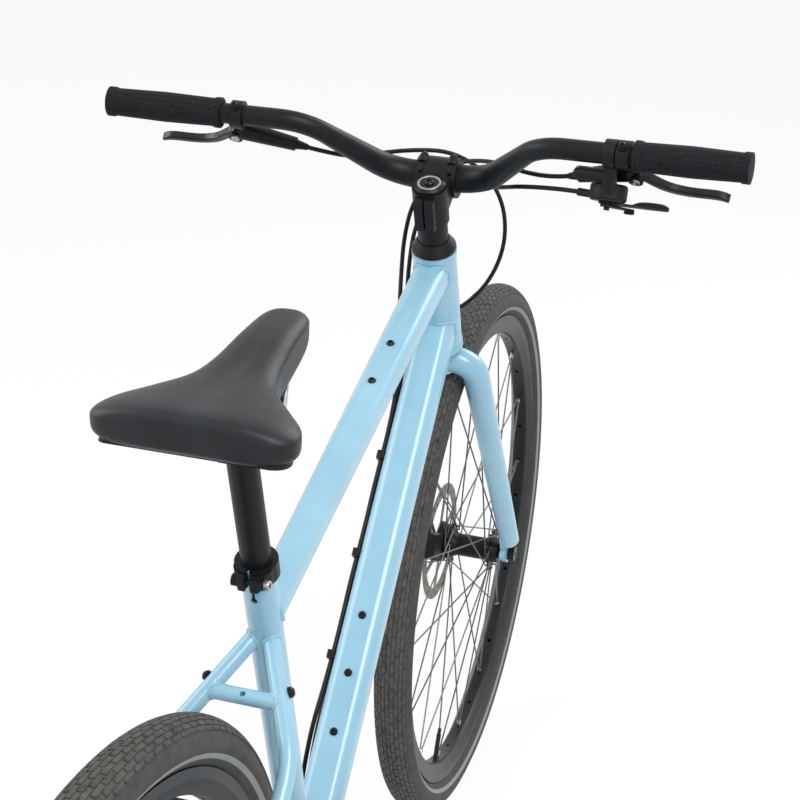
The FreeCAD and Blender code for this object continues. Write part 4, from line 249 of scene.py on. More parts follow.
def enamel():
    """Gloss enamel sprayed over welded aluminium and baked, with a slight orange-peel surface."""
    material, tree, where = new_material("sprayed_enamel_light_blue")
    tone = two_tones(tree, where, 60.0, 2.0, "#88B7CC", "#92BFD2")
    peel = add(tree, "ShaderNodeTexNoise", {"Vector": where, "Scale": 1 / (2.6 * MM), "Detail": 2.0}, "Fac")
    bump = add(tree, "ShaderNodeBump", {"Height": peel, "Distance": 0.02 * MM, "Strength": 1.0})
    plug(tree, tree.nodes["Principled BSDF"], {
        "Base Color": tone, "Roughness": 0.32, "Coat Weight": 0.55, "Coat Roughness": 0.07, "Normal": bump})
    return material


def spoke_steel(axle):
    """Drawn stainless wire with pale brass nipples, nickel plated, at the rim."""
    material, tree, where = new_material("drawn_stainless_wire")
    wire = two_tones(tree, where, 3.0, 3.0, "#56575A", "#747577")
    radius = wheel_radius(tree, where, axle)
    at_rim = add(tree, "ShaderNodeMath", {0: radius, 1: nipple_start * MM}, operation="GREATER_THAN")
    tone = add(tree, "ShaderNodeMix", {"Factor": at_rim, MIX_FIRST: wire, MIX_SECOND: colour("#A9A7A2")},
               MIX_RESULT, data_type="RGBA")
    fine = add(tree, "ShaderNodeTexNoise", {"Vector": where, "Scale": 1 / (0.6 * MM), "Detail": 3.0}, "Fac")
    bump = add(tree, "ShaderNodeBump", {"Height": fine, "Distance": 0.01 * MM, "Strength": 1.0})
    plug(tree, tree.nodes["Principled BSDF"], {
        "Base Color": tone, "Roughness": 0.28, "Metallic": 1.0, "Normal": bump})
    return material


def ground_steel(axle):
    """Stainless disc ground in fine rings, browned a little by heat on its band."""
    material, tree, where = new_material("ground_stainless_disc")
    radius = wheel_radius(tree, where, axle)
    ring = add(tree, "ShaderNodeMath", {0: radius, 1: 1 / (grinding_mark * MM)}, operation="MULTIPLY")
    marks = add(tree, "ShaderNodeTexNoise", {"W": ring, "Scale": 1.0, "Detail": 1.0}, "Fac",
                noise_dimensions="1D")
    share = add(tree, "ShaderNodeMapRange", {"Value": marks, "From Min": NOISE_LOW, "From Max": NOISE_HIGH})
    tone = add(tree, "ShaderNodeMix",
               {"Factor": share, MIX_FIRST: colour("#77726A"), MIX_SECOND: colour("#918B81")},
               MIX_RESULT, data_type="RGBA")
    band = add(tree, "ShaderNodeMath", {0: radius, 1: rotor_band * MM}, operation="GREATER_THAN")
    heat = add(tree, "ShaderNodeMath", {0: band, 1: heat_tint}, operation="MULTIPLY")
    tone = add(tree, "ShaderNodeMix", {"Factor": heat, MIX_FIRST: tone, MIX_SECOND: colour("#6E6151")},
               MIX_RESULT, data_type="RGBA")
    gloss = add(tree, "ShaderNodeMapRange", {
        "Value": marks, "From Min": NOISE_LOW, "From Max": NOISE_HIGH, "To Min": 0.24, "To Max": 0.38})
    bump = add(tree, "ShaderNodeBump", {"Height": marks, "Distance": 0.01 * MM, "Strength": 1.0})
    plug(tree, tree.nodes["Principled BSDF"], {
        "Base Color": tone, "Roughness": gloss, "Metallic": 1.0, "Normal": bump})
    return material


def tyre_rubber(name, axle):
    """Moulded rubber compound, dusted on the tread, with a reflective stripe bonded to each sidewall."""
    material, tree, where = new_material(name)
    radius = wheel_radius(tree, where, axle)
    cloud = add(tree, "ShaderNodeTexNoise", {"Vector": where, "Scale": 1 / (9.0 * MM), "Detail": 5.0}, "Fac")
    mottle = add(tree, "ShaderNodeMapRange", {"Value": cloud, "From Min": NOISE_LOW, "From Max": NOISE_HIGH})
    tone = add(tree, "ShaderNodeMix",
               {"Factor": mottle, MIX_FIRST: colour("#3A3A39"), MIX_SECOND: colour("#494846")},
               MIX_RESULT, data_type="RGBA")
    tread = add(tree, "ShaderNodeMath", {0: radius, 1: tread_edge * MM}, operation="GREATER_THAN")
    dust = add(tree, "ShaderNodeMath", {0: tread, 1: mottle}, operation="MULTIPLY")
    tone = add(tree, "ShaderNodeMix", {"Factor": dust, MIX_FIRST: tone, MIX_SECOND: colour("#575450")},
               MIX_RESULT, data_type="RGBA")
    outside = add(tree, "ShaderNodeMath", {0: radius, 1: stripe_inner * MM}, operation="GREATER_THAN")
    inside = add(tree, "ShaderNodeMath", {0: radius, 1: stripe_outer * MM}, operation="LESS_THAN")
    stripe = add(tree, "ShaderNodeMath", {0: outside, 1: inside}, operation="MULTIPLY")
    tone = add(tree, "ShaderNodeMix", {"Factor": stripe, MIX_FIRST: tone, MIX_SECOND: colour("#8A8C8B")},
               MIX_RESULT, data_type="RGBA")
    fine = add(tree, "ShaderNodeTexNoise", {"Vector": where, "Scale": 1 / (1.1 * MM), "Detail": 4.0}, "Fac")
    bump = add(tree, "ShaderNodeBump", {"Height": fine, "Distance": 0.12 * MM, "Strength": 1.0})
    plug(tree, tree.nodes["Principled BSDF"], {
        "Base Color": tone, "Roughness": 0.78, "Specular IOR Level": 0.3, "Normal": bump})
    return material


def grip_rubber():
    """Soft moulded rubber with a raised net of small six-sided cells; painted shade darkens the colour at the
    cell edges.
    """
    material, tree, where = new_material("moulded_soft_rubber_cells")
    cells = add(tree, "ShaderNodeTexVoronoi", {"Vector": where, "Scale": 1 / (4.2 * MM), "Randomness": 0.3},
                "Distance", feature="DISTANCE_TO_EDGE")
    relief_and_edge_shade = add(tree, "ShaderNodeMapRange", {"Value": cells, "From Min": 0.04, "From Max": 0.12})
    # Painted shade: the colour follows the relief, darker at the cell edges where it is lowest and lighter on
    # the cells
    tone = add(tree, "ShaderNodeMix",
               {"Factor": relief_and_edge_shade, MIX_FIRST: colour("#131315"), MIX_SECOND: colour("#1D1E21")},
               MIX_RESULT, data_type="RGBA")
    fine = add(tree, "ShaderNodeTexNoise", {"Vector": where, "Scale": 1 / (0.7 * MM), "Detail": 3.0}, "Fac")
    slight = add(tree, "ShaderNodeMath", {0: fine, 1: 0.2}, operation="MULTIPLY")
    height = add(tree, "ShaderNodeMath", {0: relief_and_edge_shade, 1: slight}, operation="ADD")
    bump = add(tree, "ShaderNodeBump", {"Height": height, "Distance": 0.28 * MM, "Strength": 1.0})
    plug(tree, tree.nodes["Principled BSDF"], {
        "Base Color": tone, "Roughness": 0.72, "Specular IOR Level": 0.15, "Normal": bump})
    return material


def saddle_skin():
    """Satin synthetic leather pressed with a fine pebble grain over moulded foam."""
    material, tree, where = new_material("pressed_synthetic_leather")
    tone = two_tones(tree, where, 26.0, 3.0, "#16181B", "#202327")
    pebble = add(tree, "ShaderNodeTexVoronoi", {"Vector": where, "Scale": 1 / (1.1 * MM)}, "Distance",
                 feature="SMOOTH_F1")
    gloss = add(tree, "ShaderNodeMapRange", {
        "Value": pebble, "From Min": 0.1, "From Max": 0.7, "To Min": 0.36, "To Max": 0.5})
    bump = add(tree, "ShaderNodeBump", {"Height": pebble, "Distance": 0.09 * MM, "Strength": 1.0})
    plug(tree, tree.nodes["Principled BSDF"], {
        "Base Color": tone, "Roughness": gloss, "Specular IOR Level": 0.3, "Normal": bump})
    return material


def dress(material, *names):
    """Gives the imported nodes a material."""
    for name in names:
        mesh = nodes[name].data
        mesh.materials.clear()
        mesh.materials.append(material)


paint = enamel()
# Aluminium blasted with fine beads and anodised satin black
anodised = grained(
    "bead_blasted_black_anodising", "#0F1013", "#16171A", 0.35, 0.42, 0.02, {"Specular IOR Level": 0.2})
# Brake lever blades and derailleur arms: cast alloy in gloss black lacquer
lacquer = grained(
    "cast_alloy_black_lacquer", "#08080A", "#101013", 1.6, 0.2, 0.015,
    {"Coat Weight": 0.2, "Coat Roughness": 0.1, "Specular IOR Level": 0.3})
# Fasteners: cold headed steel, black oxide in hot salts, dark with a dull shine
oxide = grained("headed_steel_black_oxide", "#131314", "#1E1E20", 0.5, 0.36, 0.02, {"Metallic": 0.6})
# Bent or turned bright steel, with a clear shine
bright = grained("turned_bright_steel", "#9B9B9A", "#BFBFBD", 0.6, 0.28, 0.015, {"Metallic": 1.0})
# Forged alloy cradle, tumbled and silver anodised: a soft grey sheen
cradle = grained("forged_silver_anodising", "#8C8D8F", "#A9AAAB", 0.7, 0.42, 0.03, {"Metallic": 0.8})
# Chain and sprockets: stamped steel, nickel grey under a film of oil
stamped = grained("stamped_oiled_steel", "#4A4A48", "#77756F", 0.9, 0.34, 0.03, {"Metallic": 0.9})
# Rims: extruded, welded and anodised black, with a soft sheen
extruded = grained(
    "extruded_rim_black_anodising", "#101114", "#1A1B1E", 0.8, 0.36, 0.015, {"Specular IOR Level": 0.25})
# Small mouldings: glass filled nylon with a spark eroded texture, dull black
nylon = grained("moulded_black_nylon", "#101012", "#1A1A1D", 0.45, 0.5, 0.04, {"Specular IOR Level": 0.22})
# Brake hoses and cable casing: extruded sleeve, smooth and black
sleeve = grained("extruded_black_sleeve", "#0B0B0C", "#131314", 0.9, 0.4, 0.015, {"Specular IOR Level": 0.22})
grip_skin = grip_rubber()
skin = saddle_skin()

dress(paint, "head_tube", "top_tube", "down_tube", "seat_tube", "bottom_bracket_shell", "seat_stays",
      "chain_stays", "rear_dropouts", "fork")
dress(anodised, "headset_spacers", "stem", "stem_faceplate", "handlebar", "seat_post", "seat_collar",
      "rear_caliper", "front_caliper", "front_hub", "rear_hub", "lever_mounts", "crankset")
dress(lacquer, "brake_lever_left", "brake_lever_right", "derailleur_mount", "derailleur_outer_link",
      "derailleur_inner_link", "derailleur_knuckle", "derailleur_cage")
dress(oxide, "frame_bolts", "stem_bolts", "front_axle", "rear_axle")
dress(bright, "saddle_rails", "bearing_cups")
dress(cradle, "saddle_clamp")
dress(stamped, "chain", "cassette", "chainring")
dress(extruded, "front_rim", "rear_rim")
dress(nylon, "saddle_base", "shifter_body", "thumb_lever", "release_lever", "pedal_left", "pedal_right",
      "hose_clips", "guide_pulley", "tension_pulley")
dress(grip_skin, "grips")
dress(sleeve, "front_brake_hose", "rear_brake_hose", "shift_cable")
dress(skin, "saddle_cover")
for end, axle in (("front", front_axle), ("rear", rear_axle)):
    dress(spoke_steel(axle), end + "_spokes")
    dress(ground_steel(axle), end + "_rotor")


# Tyres

tyre_radius = 358.0
tyre_half = 23.5
tyre_waist = 335.5             # radius where the casing is widest
bead_half = 12.4               # half width at the rim
bead_foot = 311.1              # radius of the bead's foot
bead_lip = 317.1               # radius where the sidewall leaves the rim
sidewall_middle = (19.75, 324.7)
shoulder_out = 0.72            # place of the crown's shoulder, as shares of the half width
shoulder_drop = 0.3
tread_fade = 4.0               # height above the waist over which the tread grows to its full depth
tread_height = 1.3
tread_root = 0.2               # how far the blocks reach into the casing
tread_columns = 9
tread_steps = 132
tread_start = 0.17             # share of the crown's outline before the first row of blocks
tread_share = 0.66             # share of the crown's outline that the rows take up
block_width = 0.86             # share of a row
block_gap = 0.07               # share of a step left free at each end of a block
block_draft = 0.05             # share of a block's width by which each side is drawn in
end_draft = 0.6                # the ends are drawn in by this much of that
tyre_crease = 40               # degrees


def tyre_side():
    """The sidewall's outline from the rim to the waist, on the left."""
    relief_and_edge_shade = arc_through((bead_half, bead_lip), sidewall_middle, (tyre_half, tyre_waist), 8)
    return [(bead_half, bead_foot)] + relief_and_edge_shade


def tyre_crown(lower):
    """The tread's outline from the waist over the ridge to the other waist, lowered on the tread."""
    shoulder = (tyre_half * shoulder_out, tyre_radius - tyre_half * shoulder_drop)
    half = arc_through((tyre_half, tyre_waist), shoulder, (0, tyre_radius), 10)
    points = half + [(-along, radius) for along, radius in half[-2::-1]]
    inset = []
    for along, radius in points:
        away = Vector((along, radius - tyre_waist))
        share = min(1.0, max(0.0, (radius - tyre_waist) / tread_fade))
        shorter = away * (1 - lower * share / away.length)
        inset.append((shorter.x, tyre_waist + shorter.y))
    return inset


def on_outline(outline, share):
    """A point at a share of an outline's length."""
    lengths = [math.dist(a, b) for a, b in zip(outline, outline[1:])]
    target = share * sum(lengths)
    for (start, end), length in zip(zip(outline, outline[1:]), lengths):
        if target <= length:
            return tuple(a + (b - a) * target / length for a, b in zip(start, end))
        target -= length
    return outline[-1]


def around(axle, along, radius, turn):
    """A place on a wheel, turned about its axle."""
    return axle + Vector((radius * math.sin(turn), along, radius * math.cos(turn)))


def make_tyre(name, axle, body):
    """A casing with rows of staggered rectangular tread blocks, each with drawn-in sides."""
    segments = 160
    side = tyre_side()
    casing = side + tyre_crown(tread_height)[1:-1] + [(-along, radius) for along, radius in side[::-1]]
    points = []
    for along, radius in casing:
        points += [around(axle, along, radius, 2 * math.pi * k / segments) for k in range(segments)]
    parts = [(points, grid_faces(len(casing), segments, wrap_rows=True))]
    floor = tyre_crown(tread_height + tread_root)
    top = tyre_crown(0.0)
    step = 2 * math.pi / tread_steps
    for column in range(tread_columns):
        low = tread_start + tread_share * column / tread_columns
        high = tread_start + tread_share * (column + block_width) / tread_columns
        shift = 0.5 * (column % 2)
        for index in range(tread_steps):
            start = (index + shift + block_gap) * step
            end = (index + shift + 1 - block_gap) * step
            block = []
            for outline, margin in ((floor, 0.0), (top, block_draft)):
                edge_low = on_outline(outline, low + (high - low) * margin)
                edge_high = on_outline(outline, high - (high - low) * margin)
                first = start + (end - start) * margin * end_draft
                last = end - (end - start) * margin * end_draft
                block += [around(axle, *edge_low, first), around(axle, *edge_high, first),
                          around(axle, *edge_high, last), around(axle, *edge_low, last)]
            parts.append((block, BLOCK_FACES))
    rubber = tyre_rubber(name + "_moulded_rubber", axle)
    tyre = make_piece(name + "_blocks", *joined(parts), body, "tyre_rubber", rubber)
    tyre.data.set_sharp_from_angle(angle=math.radians(tyre_crease))
    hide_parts(name)


make_tyre("front_tyre", front_axle, "front_wheel")
make_tyre("rear_tyre", rear_axle, "rear_wheel")


# Saddle cover

# Place, half width, crown height, shoulder height and foot height
saddle_sections = (
    (-128, 8, 928, 922, 913), (-131, 14, 932, 924, 909), (-147, 22, 936, 926, 898),
    (-190, 26, 935, 922, 888), (-235, 31, 929, 915, 886), (-268, 41, 926, 911, 886),
    (-298, 64, 926, 909, 885), (-322, 81, 927, 909, 886), (-343, 85, 928, 909, 889),
    (-357, 75, 927, 910, 892), (-363, 54, 923, 909, 896), (-365, 34, 918, 908, 899))
# Exponents: a low one makes the section squarer
crown_across, crown_rise = 0.8, 1.15
skirt_across, skirt_rise = 0.25, 0.42
skirt_tuck = 4                 # how far the sides are drawn in to the shell
groove_half, groove_depth = 7.0, 1.6


def between(rows, share):
    """A smooth curve through rows of numbers."""
    place_in = share * (len(rows) - 1)
    index = min(int(place_in), len(rows) - 2)
    t = place_in - index
    picked = [rows[min(max(index + k, 0), len(rows) - 1)] for k in (-1, 0, 1, 2)]
    result = []
    for a, b, c, d in zip(*picked):
        result.append(0.5 * (2 * b + (c - a) * t + (2 * a - 5 * b + 4 * c - d) * t * t
                             + (3 * b - a - 3 * c + d) * t * t * t))
    return result


def make_saddle():
    """Foam under a stretched skin: a crowned top, round shoulders and sides drawn in to the shell."""
    rings = 72
    columns = 64
    points = []
    for ring in range(rings):
        x, half, crown, shoulder, foot = between(saddle_sections, ring / (rings - 1))
        for column in range(columns):
            turn = 2 * math.pi * column / columns
            across = math.sin(turn)
            rise = math.cos(turn)
            if rise >= 0:
                y = half * math.copysign(abs(across) ** crown_across, across)
                z = shoulder + (crown - shoulder) * rise ** crown_rise
                fade = math.sin(math.pi * ring / (rings - 1)) ** 2
                z -= math.exp(-(y / groove_half) ** 2) * groove_depth * fade
            else:
                y = (half - skirt_tuck * abs(rise) ** 2) * math.copysign(abs(across) ** skirt_across, across)
                z = shoulder - (shoulder - foot) * abs(rise) ** skirt_rise
            points.append(Vector((x, y, z)))
    faces = capped_faces(rings, columns)
    cover = make_piece("saddle_padding", points, faces, "saddle", "saddle_skin", skin)
    smooth = cover.modifiers.new("rounding", "SUBSURF")
    smooth.levels = 1
    smooth.render_levels = 1
    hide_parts("saddle_cover")


make_saddle()


# Weld beads

weld_step = 0.9                # spacing of the points along a bead
weld_ripple = 2.7              # length of one ripple
weld_swing = 0.14              # share of a bead's size that ripples
main_bead, stay_bead, bridge_bead = 2.6, 2.0, 1.7
weld_points = 12               # least number of points along a bead
cast_back = 70.0               # an outline is cast along its tube from this far behind the joint
tube_corner = 13.0
top_tube_front = (39.6, 34.0)  # width and depth
top_tube_rear = (31.0, 34.0)
down_tube_section = (44.0, 36.0)
stay_neck, stay_radius, bridge_radius, chain_stay_radius = 7.8, 8.0, 7.3, 8.3
bridge_share = 0.6             # place of the stays' bridge along their first run


def hit_cylinder(origin, way, axis_point, axis, radius):
    """The first place where a line meets a round tube, or None."""
    axis = axis.normalized()
    offset = origin - axis_point
    flat_way = way - axis * way.dot(axis)
    flat_offset = offset - axis * offset.dot(axis)
    a = flat_way.length_squared
    b = 2 * flat_way.dot(flat_offset)
    c = flat_offset.length_squared - radius * radius
    rest = b * b - 4 * a * c
    return origin + way * ((-b - math.sqrt(rest)) / (2 * a)) if rest >= 0 else None


def box_outline(width, depth):
    """A tube's outline with rounded corners."""
    steps = 10
    points = []
    for quarter in range(4):
        middle = Vector(((width / 2 - tube_corner) * (1 if quarter in (0, 3) else -1),
                         (depth / 2 - tube_corner) * (1 if quarter < 2 else -1)))
        for step in range(steps + 1):
            turn = math.pi / 2 * (quarter + step / steps)
            points.append(middle + Vector((math.cos(turn), math.sin(turn))) * tube_corner)
    return points


def ring_outline(radius):
    """A round tube's outline."""
    steps = 40
    turns = [2 * math.pi * k / steps for k in range(steps)]
    return [Vector((math.cos(turn), math.sin(turn))) * radius for turn in turns]


def resampled(path, spacing):
    """A closed path at even steps."""
    closed = path + path[:1]
    lengths = [(b - a).length for a, b in zip(closed, closed[1:])]
    count = max(weld_points, round(sum(lengths) / spacing))
    step = sum(lengths) / count
    result = []
    index = 0
    passed = 0.0
    for k in range(count):
        target = k * step
        while passed + lengths[index] < target:
            passed += lengths[index]
            index += 1
        share = (target - passed) / max(lengths[index], 1e-9)
        result.append(closed[index].lerp(closed[index + 1], share))
    return result


def weld(origin, way, outline, tube, size=main_bead):
    """A rippled bead where a tube of some outline meets a round tube of (place, axis, radius)."""
    across, upward = frame_axes(way)
    way = way.normalized()
    if abs(across.dot(SIDE)) < abs(upward.dot(SIDE)):
        across, upward = upward, across
    path = []
    for spot in outline:
        start = origin + across * spot.x + upward * spot.y
        found = hit_cylinder(start, way, *tube)
        if found is not None:
            path.append(found)
    path = resampled(path, weld_step)
    middle = sum(path, Vector()) / len(path)
    sides = 8
    points = []
    for index, here in enumerate(path):
        ahead = path[(index + 1) % len(path)] - path[index - 1]
        out = here - middle
        first = (out - ahead * (out.dot(ahead) / ahead.length_squared)).normalized()
        second = ahead.cross(first).normalized()
        wave = math.cos(2 * math.pi * index * weld_step / weld_ripple)
        swell = size * (1 - weld_swing + weld_swing * wave)
        for k in range(sides):
            turn = 2 * math.pi * k / sides
            points.append(here + first * (swell * math.cos(turn)) + second * (swell * math.sin(turn)))
    return points, grid_faces(len(path), sides, wrap_rows=True)


def make_welds():
    """The beads at the main joints, then at the stays on each side."""
    top_way = (top_tube_end - top_tube_start).normalized()
    down_way = (down_tube_end - down_tube_start).normalized()
    down_outline = box_outline(*down_tube_section)
    head = (head_top, steer_way, head_radius)
    seat_tube = (bottom_bracket, seat_way, seat_tube_radius)
    shell = (bottom_bracket, SIDE, shell_radius)
    beads = [
        weld(top_tube_end - top_way * cast_back, top_way, box_outline(*top_tube_front), head),
        weld(top_tube_start + top_way * cast_back, -top_way, box_outline(*top_tube_rear), seat_tube),
        weld(down_tube_end - down_way * cast_back, down_way, down_outline, head),
        weld(down_tube_start + down_way * cast_back, -down_way, down_outline, shell),
        weld(bottom_bracket + seat_way * cast_back, -seat_way, ring_outline(seat_tube_radius), shell)]
    for side in (1, -1):
        flip = Vector((1, side, 1))
        run = stay_run * flip
        bridge = stay_root * flip + run * bridge_share
        middle = Vector((bridge.x, 0, bridge.z))
        knee = chain_stay_knee * flip
        near = chain_stay_near * flip
        beads += [
            weld(bridge, -run, ring_outline(stay_neck), seat_tube, stay_bead),
            weld(middle, SIDE * side, ring_outline(bridge_radius), (bridge, run, stay_radius), bridge_bead),
            weld(knee, near - knee, ring_outline(chain_stay_radius), shell, stay_bead)]
    make_piece("weld_beads", *joined(beads), "frame", "frame_paint", paint)


make_welds()


# Small fittings

lever_pivots = (Vector((260.41, 211.51, 976.21)), Vector((258.91, -229.51, 976.62)))
lever_across = Vector((0.70647, 0.04232, 0.70647))
pin_reach = 9.8                # from the middle of a lever's pivot to the heads of its pin
pin_head_radius, pin_head_height = 5.0, 2.2
collar_bolt = Vector((-233.09, 0, 716.74))
collar_head_reach, collar_tail_reach = 15, 12.8
gear_window = Vector((236.4, -185.5, 984.4))
mark_half_length, mark_half_width = 2.2, 2
mark_foot, mark_top = -0.4, 0.25
cap_rise = 1.5 + 13.5 + 25 + 44 + 5    # cup lip, bearing cover, spacers, stem and cap
# Outlines of (along, radius)
collar_head = [(-0.2, 4.5), (4.4, 4.5), (4.9, 4.1), (4.9, 2.6), (3.6, 2.4), (3.5, 0.01)]
collar_tail = [(0, 3.2), (2.2, 3.2), (2.5, 2.9), (2.5, 1.6), (1.4, 1.4), (1.3, 0.01)]
cap_ring = [(-0.6, 13.2), (0.35, 13.0), (0.45, 12.4), (0.45, 11.2), (0.3, 10.8), (-0.6, 10.6)]
bolt_segments, cap_segments = 24, 48


def button(base, axis, radius, height):
    """A turned button head with a hollow for its key."""
    outline = [(0, radius), (height * 0.5, radius), (height * 0.85, radius * 0.86), (height, radius * 0.6),
               (height, radius * 0.42), (height * 0.35, radius * 0.38), (height * 0.3, 0.01)]
    return lathe(base, axis, outline, bolt_segments)


def make_fittings():
    """Heads of the lever pins, ends of the collar's bolt, the gear mark and the top cap's ring."""
    heads = []
    for pivot, side in zip(lever_pivots, (1, -1)):
        across = lever_across * Vector((1, side, 1))
        for end in (1, -1):
            base = pivot + across * (end * pin_reach)
            heads.append(button(base, across * end, pin_head_radius, pin_head_height))
    make_piece("lever_pivot_heads", *joined(heads), "steering", "bright_steel", bright)
    ends = [lathe(collar_bolt - SIDE * collar_head_reach, -SIDE, collar_head, bolt_segments),
            lathe(collar_bolt + SIDE * collar_tail_reach, SIDE, collar_tail, bolt_segments)]
    make_piece("collar_bolt_ends", *joined(ends), "frame", "bright_steel", bright)
    corners = []
    for z in (mark_foot, mark_top):
        for x, y in ((-1, -1), (1, -1), (1, 1), (-1, 1)):
            corners.append(gear_window + Vector((x * mark_half_length, y * mark_half_width, z)))
    faces = BLOCK_FACES + [(3, 2, 1, 0)]
    # Printed ink, flat and bright
    ink = grained("printed_orange_mark", "#D2442A", "#DB5236", 0.4, 0.4, 0.01, {})
    make_piece("gear_mark", corners, faces, "steering", "black_plastic", ink, smooth=False)
    ring = lathe(head_top + steer_way * cap_rise, steer_way, cap_ring, cap_segments)
    make_piece("top_cap_ring", *ring, "steering", "bright_steel", cradle)


make_fittings()


# Thumb lever's pad

thumb_normal = Vector((0.34014, 0, 0.94038))
thumb_plane = 974.4            # the blade's top face, along its normal from the origin
thumb_sink = 1.0               # how far the pad's foot lies in the blade
# Place along and across the bike, half width and height of the pad
thumb_sections = (
    (256.5, -227, 3.0, 0.6), (257.3, -230, 5.6, 2.4), (258.6, -235, 7.4, 4.2), (260.4, -243, 8.2, 5.2),
    (262, -253, 8.0, 5.2), (262, -260, 6.6, 4.4), (261.6, -264, 3.6, 2.2))
thumb_round = 0.8              # exponent of the pad's section; a low one makes it squarer


def make_thumb_pad():
    """A rounded nylon pad moulded over the steel blade of the thumb lever."""
    rings = 25
    columns = 20
    rows = [between(thumb_sections, ring / (rings - 1)) for ring in range(rings)]
    middles = []
    for x, y, _, _ in rows:
        middles.append(Vector((x, y, (thumb_plane - thumb_normal.x * x) / thumb_normal.z)))
    points = []
    for ring, (_, _, half, height) in enumerate(rows):
        ahead = middles[min(ring + 1, rings - 1)] - middles[max(ring - 1, 0)]
        across = thumb_normal.cross(ahead).normalized()
        for column in range(columns):
            turn = 2 * math.pi * column / columns
            rise = math.sin(turn)
            side = math.copysign(abs(math.cos(turn)) ** thumb_round, math.cos(turn))
            lift = height * rise ** thumb_round if rise > 0 else thumb_sink * rise
            points.append(middles[ring] + across * (half * side) + thumb_normal * lift)
    faces = capped_faces(rings, columns)
    make_piece("thumb_lever_pad", points, faces, "thumb_lever", "black_plastic", nylon)


make_thumb_pad()


# Hoses

hose_radius = 2.5


def smooth_tube(name, route, body, node):
    """A hose on one smooth curve with the route's places as its control points.

    One without a body stays fixed where it is, on no body.
    """
    curve = bpy.data.curves.new(name, "CURVE")
    curve.dimensions = "3D"
    curve.bevel_depth = hose_radius * MM
    curve.bevel_resolution = 3
    curve.resolution_u = 6
    curve.use_fill_caps = True
    spline = curve.splines.new("NURBS")
    spline.points.add(len(route) - 1)
    for point, spot in zip(spline.points, route):
        point.co = tuple(Vector(spot) * MM) + (1.0,)
    spline.order_u = 3
    spline.use_endpoint_u = True
    holder = add_object(name + "_route", curve)
    bpy.context.view_layer.update()
    mesh = bpy.data.meshes.new_from_object(holder.evaluated_get(bpy.context.evaluated_depsgraph_get()))
    bpy.data.objects.remove(holder)
    mesh.name = name
    hose = add_object(name, mesh)
    for polygon in mesh.polygons:
        polygon.use_smooth = True
    mesh.materials.clear()
    mesh.materials.append(sleeve)
    if body:
        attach(hose, body)
    else:
        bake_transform(hose)
    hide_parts(node)


front_hose_route = (
    (280.8, 136.9, 960.3), (287.2, 116.5, 955.1), (310, 92, 947), (338, 72, 947), (366, 42, 947),
    (388, 4, 944), (403, -32, 922), (412, -54, 886), (414, -60, 842), (412, -50, 800),
    (409, -28, 765), (406, 4, 740), (398, 38, 722), (392, 60, 696), (400, 68, 656),
    (417, 69, 612), (430, 69, 560), (424, 62, 502), (412, 52, 452), (421.7, 45.3, 407.8),
    (458.8, 45.3, 392.8))
rear_hose_route = (
    (279.3, -154.9, 960.7), (285.7, -134.5, 955.5), (310, -98, 951), (338, -70, 949), (364, -42, 944),
    (385, -8, 934), (392, 26, 912), (383, 46, 880), (366, 50, 842), (346, 46, 800),
    (316, 38, 750), (285.5, 28, 692.9), (245.3, 25, 651.1), (205.1, 26, 609.3), (164.9, 25, 567.5),
    (124.7, 26, 525.7), (84.5, 25, 483.9), (44.3, 26, 442.1), (4.1, 29, 400.3), (-14, 35, 322),
    (-56, 36, 272), (-108, 37, 260), (-160, 37, 284), (-212.3, 40.3, 294.4), (-311.2, 50.4, 309.2),
    (-346, 66, 318), (-376, 71, 338), (-394, 70, 370), (-418.5, 58.2, 399.1), (-456.6, 58.2, 386.7))
shift_cable_route = (
    (265, -169, 949.1), (275.2, -149.6, 947.1), (300, -100, 938), (334, -70, 924), (358, -38, 915),
    (374, -4, 904), (378, 26, 886), (369, 38, 856), (354, 39, 820), (338, 36, 778),
    (322, 29, 736), (287.9, 27, 679.5), (247.7, 25, 637.7), (207.5, 26, 595.9), (167.3, 25, 554.1),
    (127.1, 26, 512.3), (86.9, 25, 470.5), (46.7, 26, 428.7), (6.5, 25.5, 386.9), (-20, 25.5, 328),
    (-62, 18, 268), (-108, -4, 256), (-156, -24, 272), (-212.3, -40.3, 294.4), (-317.6, -51, 310.2),
    (-372, -66, 319), (-426, -80, 336), (-480, -90, 358), (-535, -96, 375), (-585, -96, 375),
    (-602.6, -94, 357.4), (-602.6, -90, 332.6), (-585, -83.8, 315), (-561, -83.8, 315))
smooth_tube("front_brake_line", front_hose_route, "steering", "front_brake_hose")
smooth_tube("rear_brake_line", rear_hose_route, None, "rear_brake_hose")
smooth_tube("shift_casing", shift_cable_route, None, "shift_cable")


# Chain

guide_pulley = Vector((-531, -48.1, 266))
tension_pulley = Vector((-526.39, -48.1, 186.13))
loop_top = guide_pulley + UP * 6               # loop_top = guide_pulley + UP * 6 # the loop on the pulleys lies below this
loop_front = guide_pulley.x + 50               # no link of the loop lies in front of this
run_start = tension_pulley + Vector((4, 0, 0))
run_end = bottom_bracket.x - 4
run_height = 235.0                             # all of the lower run is below this


def chain_stretch(middle):
    """The stretch of the chain that a place belongs to: on the pulleys, under them or over the cogs."""
    on_loop = middle.z > tension_pulley.z * MM and middle.x < loop_front * MM
    if middle.z < loop_top.z * MM and (on_loop or middle.x < run_start.x * MM):
        return "chain_on_pulleys"
    if middle.z < run_height * MM and middle.x < run_end * MM:
        return "chain_lower_run"
    return "chain_over_cogs"


def stretch_of_points(bm):
    """The stretch of each point, by the middle of the plate, pin or roller that it is on."""
    found = {}
    for seed in bm.verts:
        if seed in found:
            continue
        group = [seed]
        taken = {seed}
        for point in group:
            near = [edge.other_vert(point) for edge in point.link_edges]
            near = [other for other in near if other not in taken]
            taken.update(near)
            group += near
        middle = sum((point.co for point in group), Vector()) / len(group)
        found.update(dict.fromkeys(group, chain_stretch(middle)))
    return found


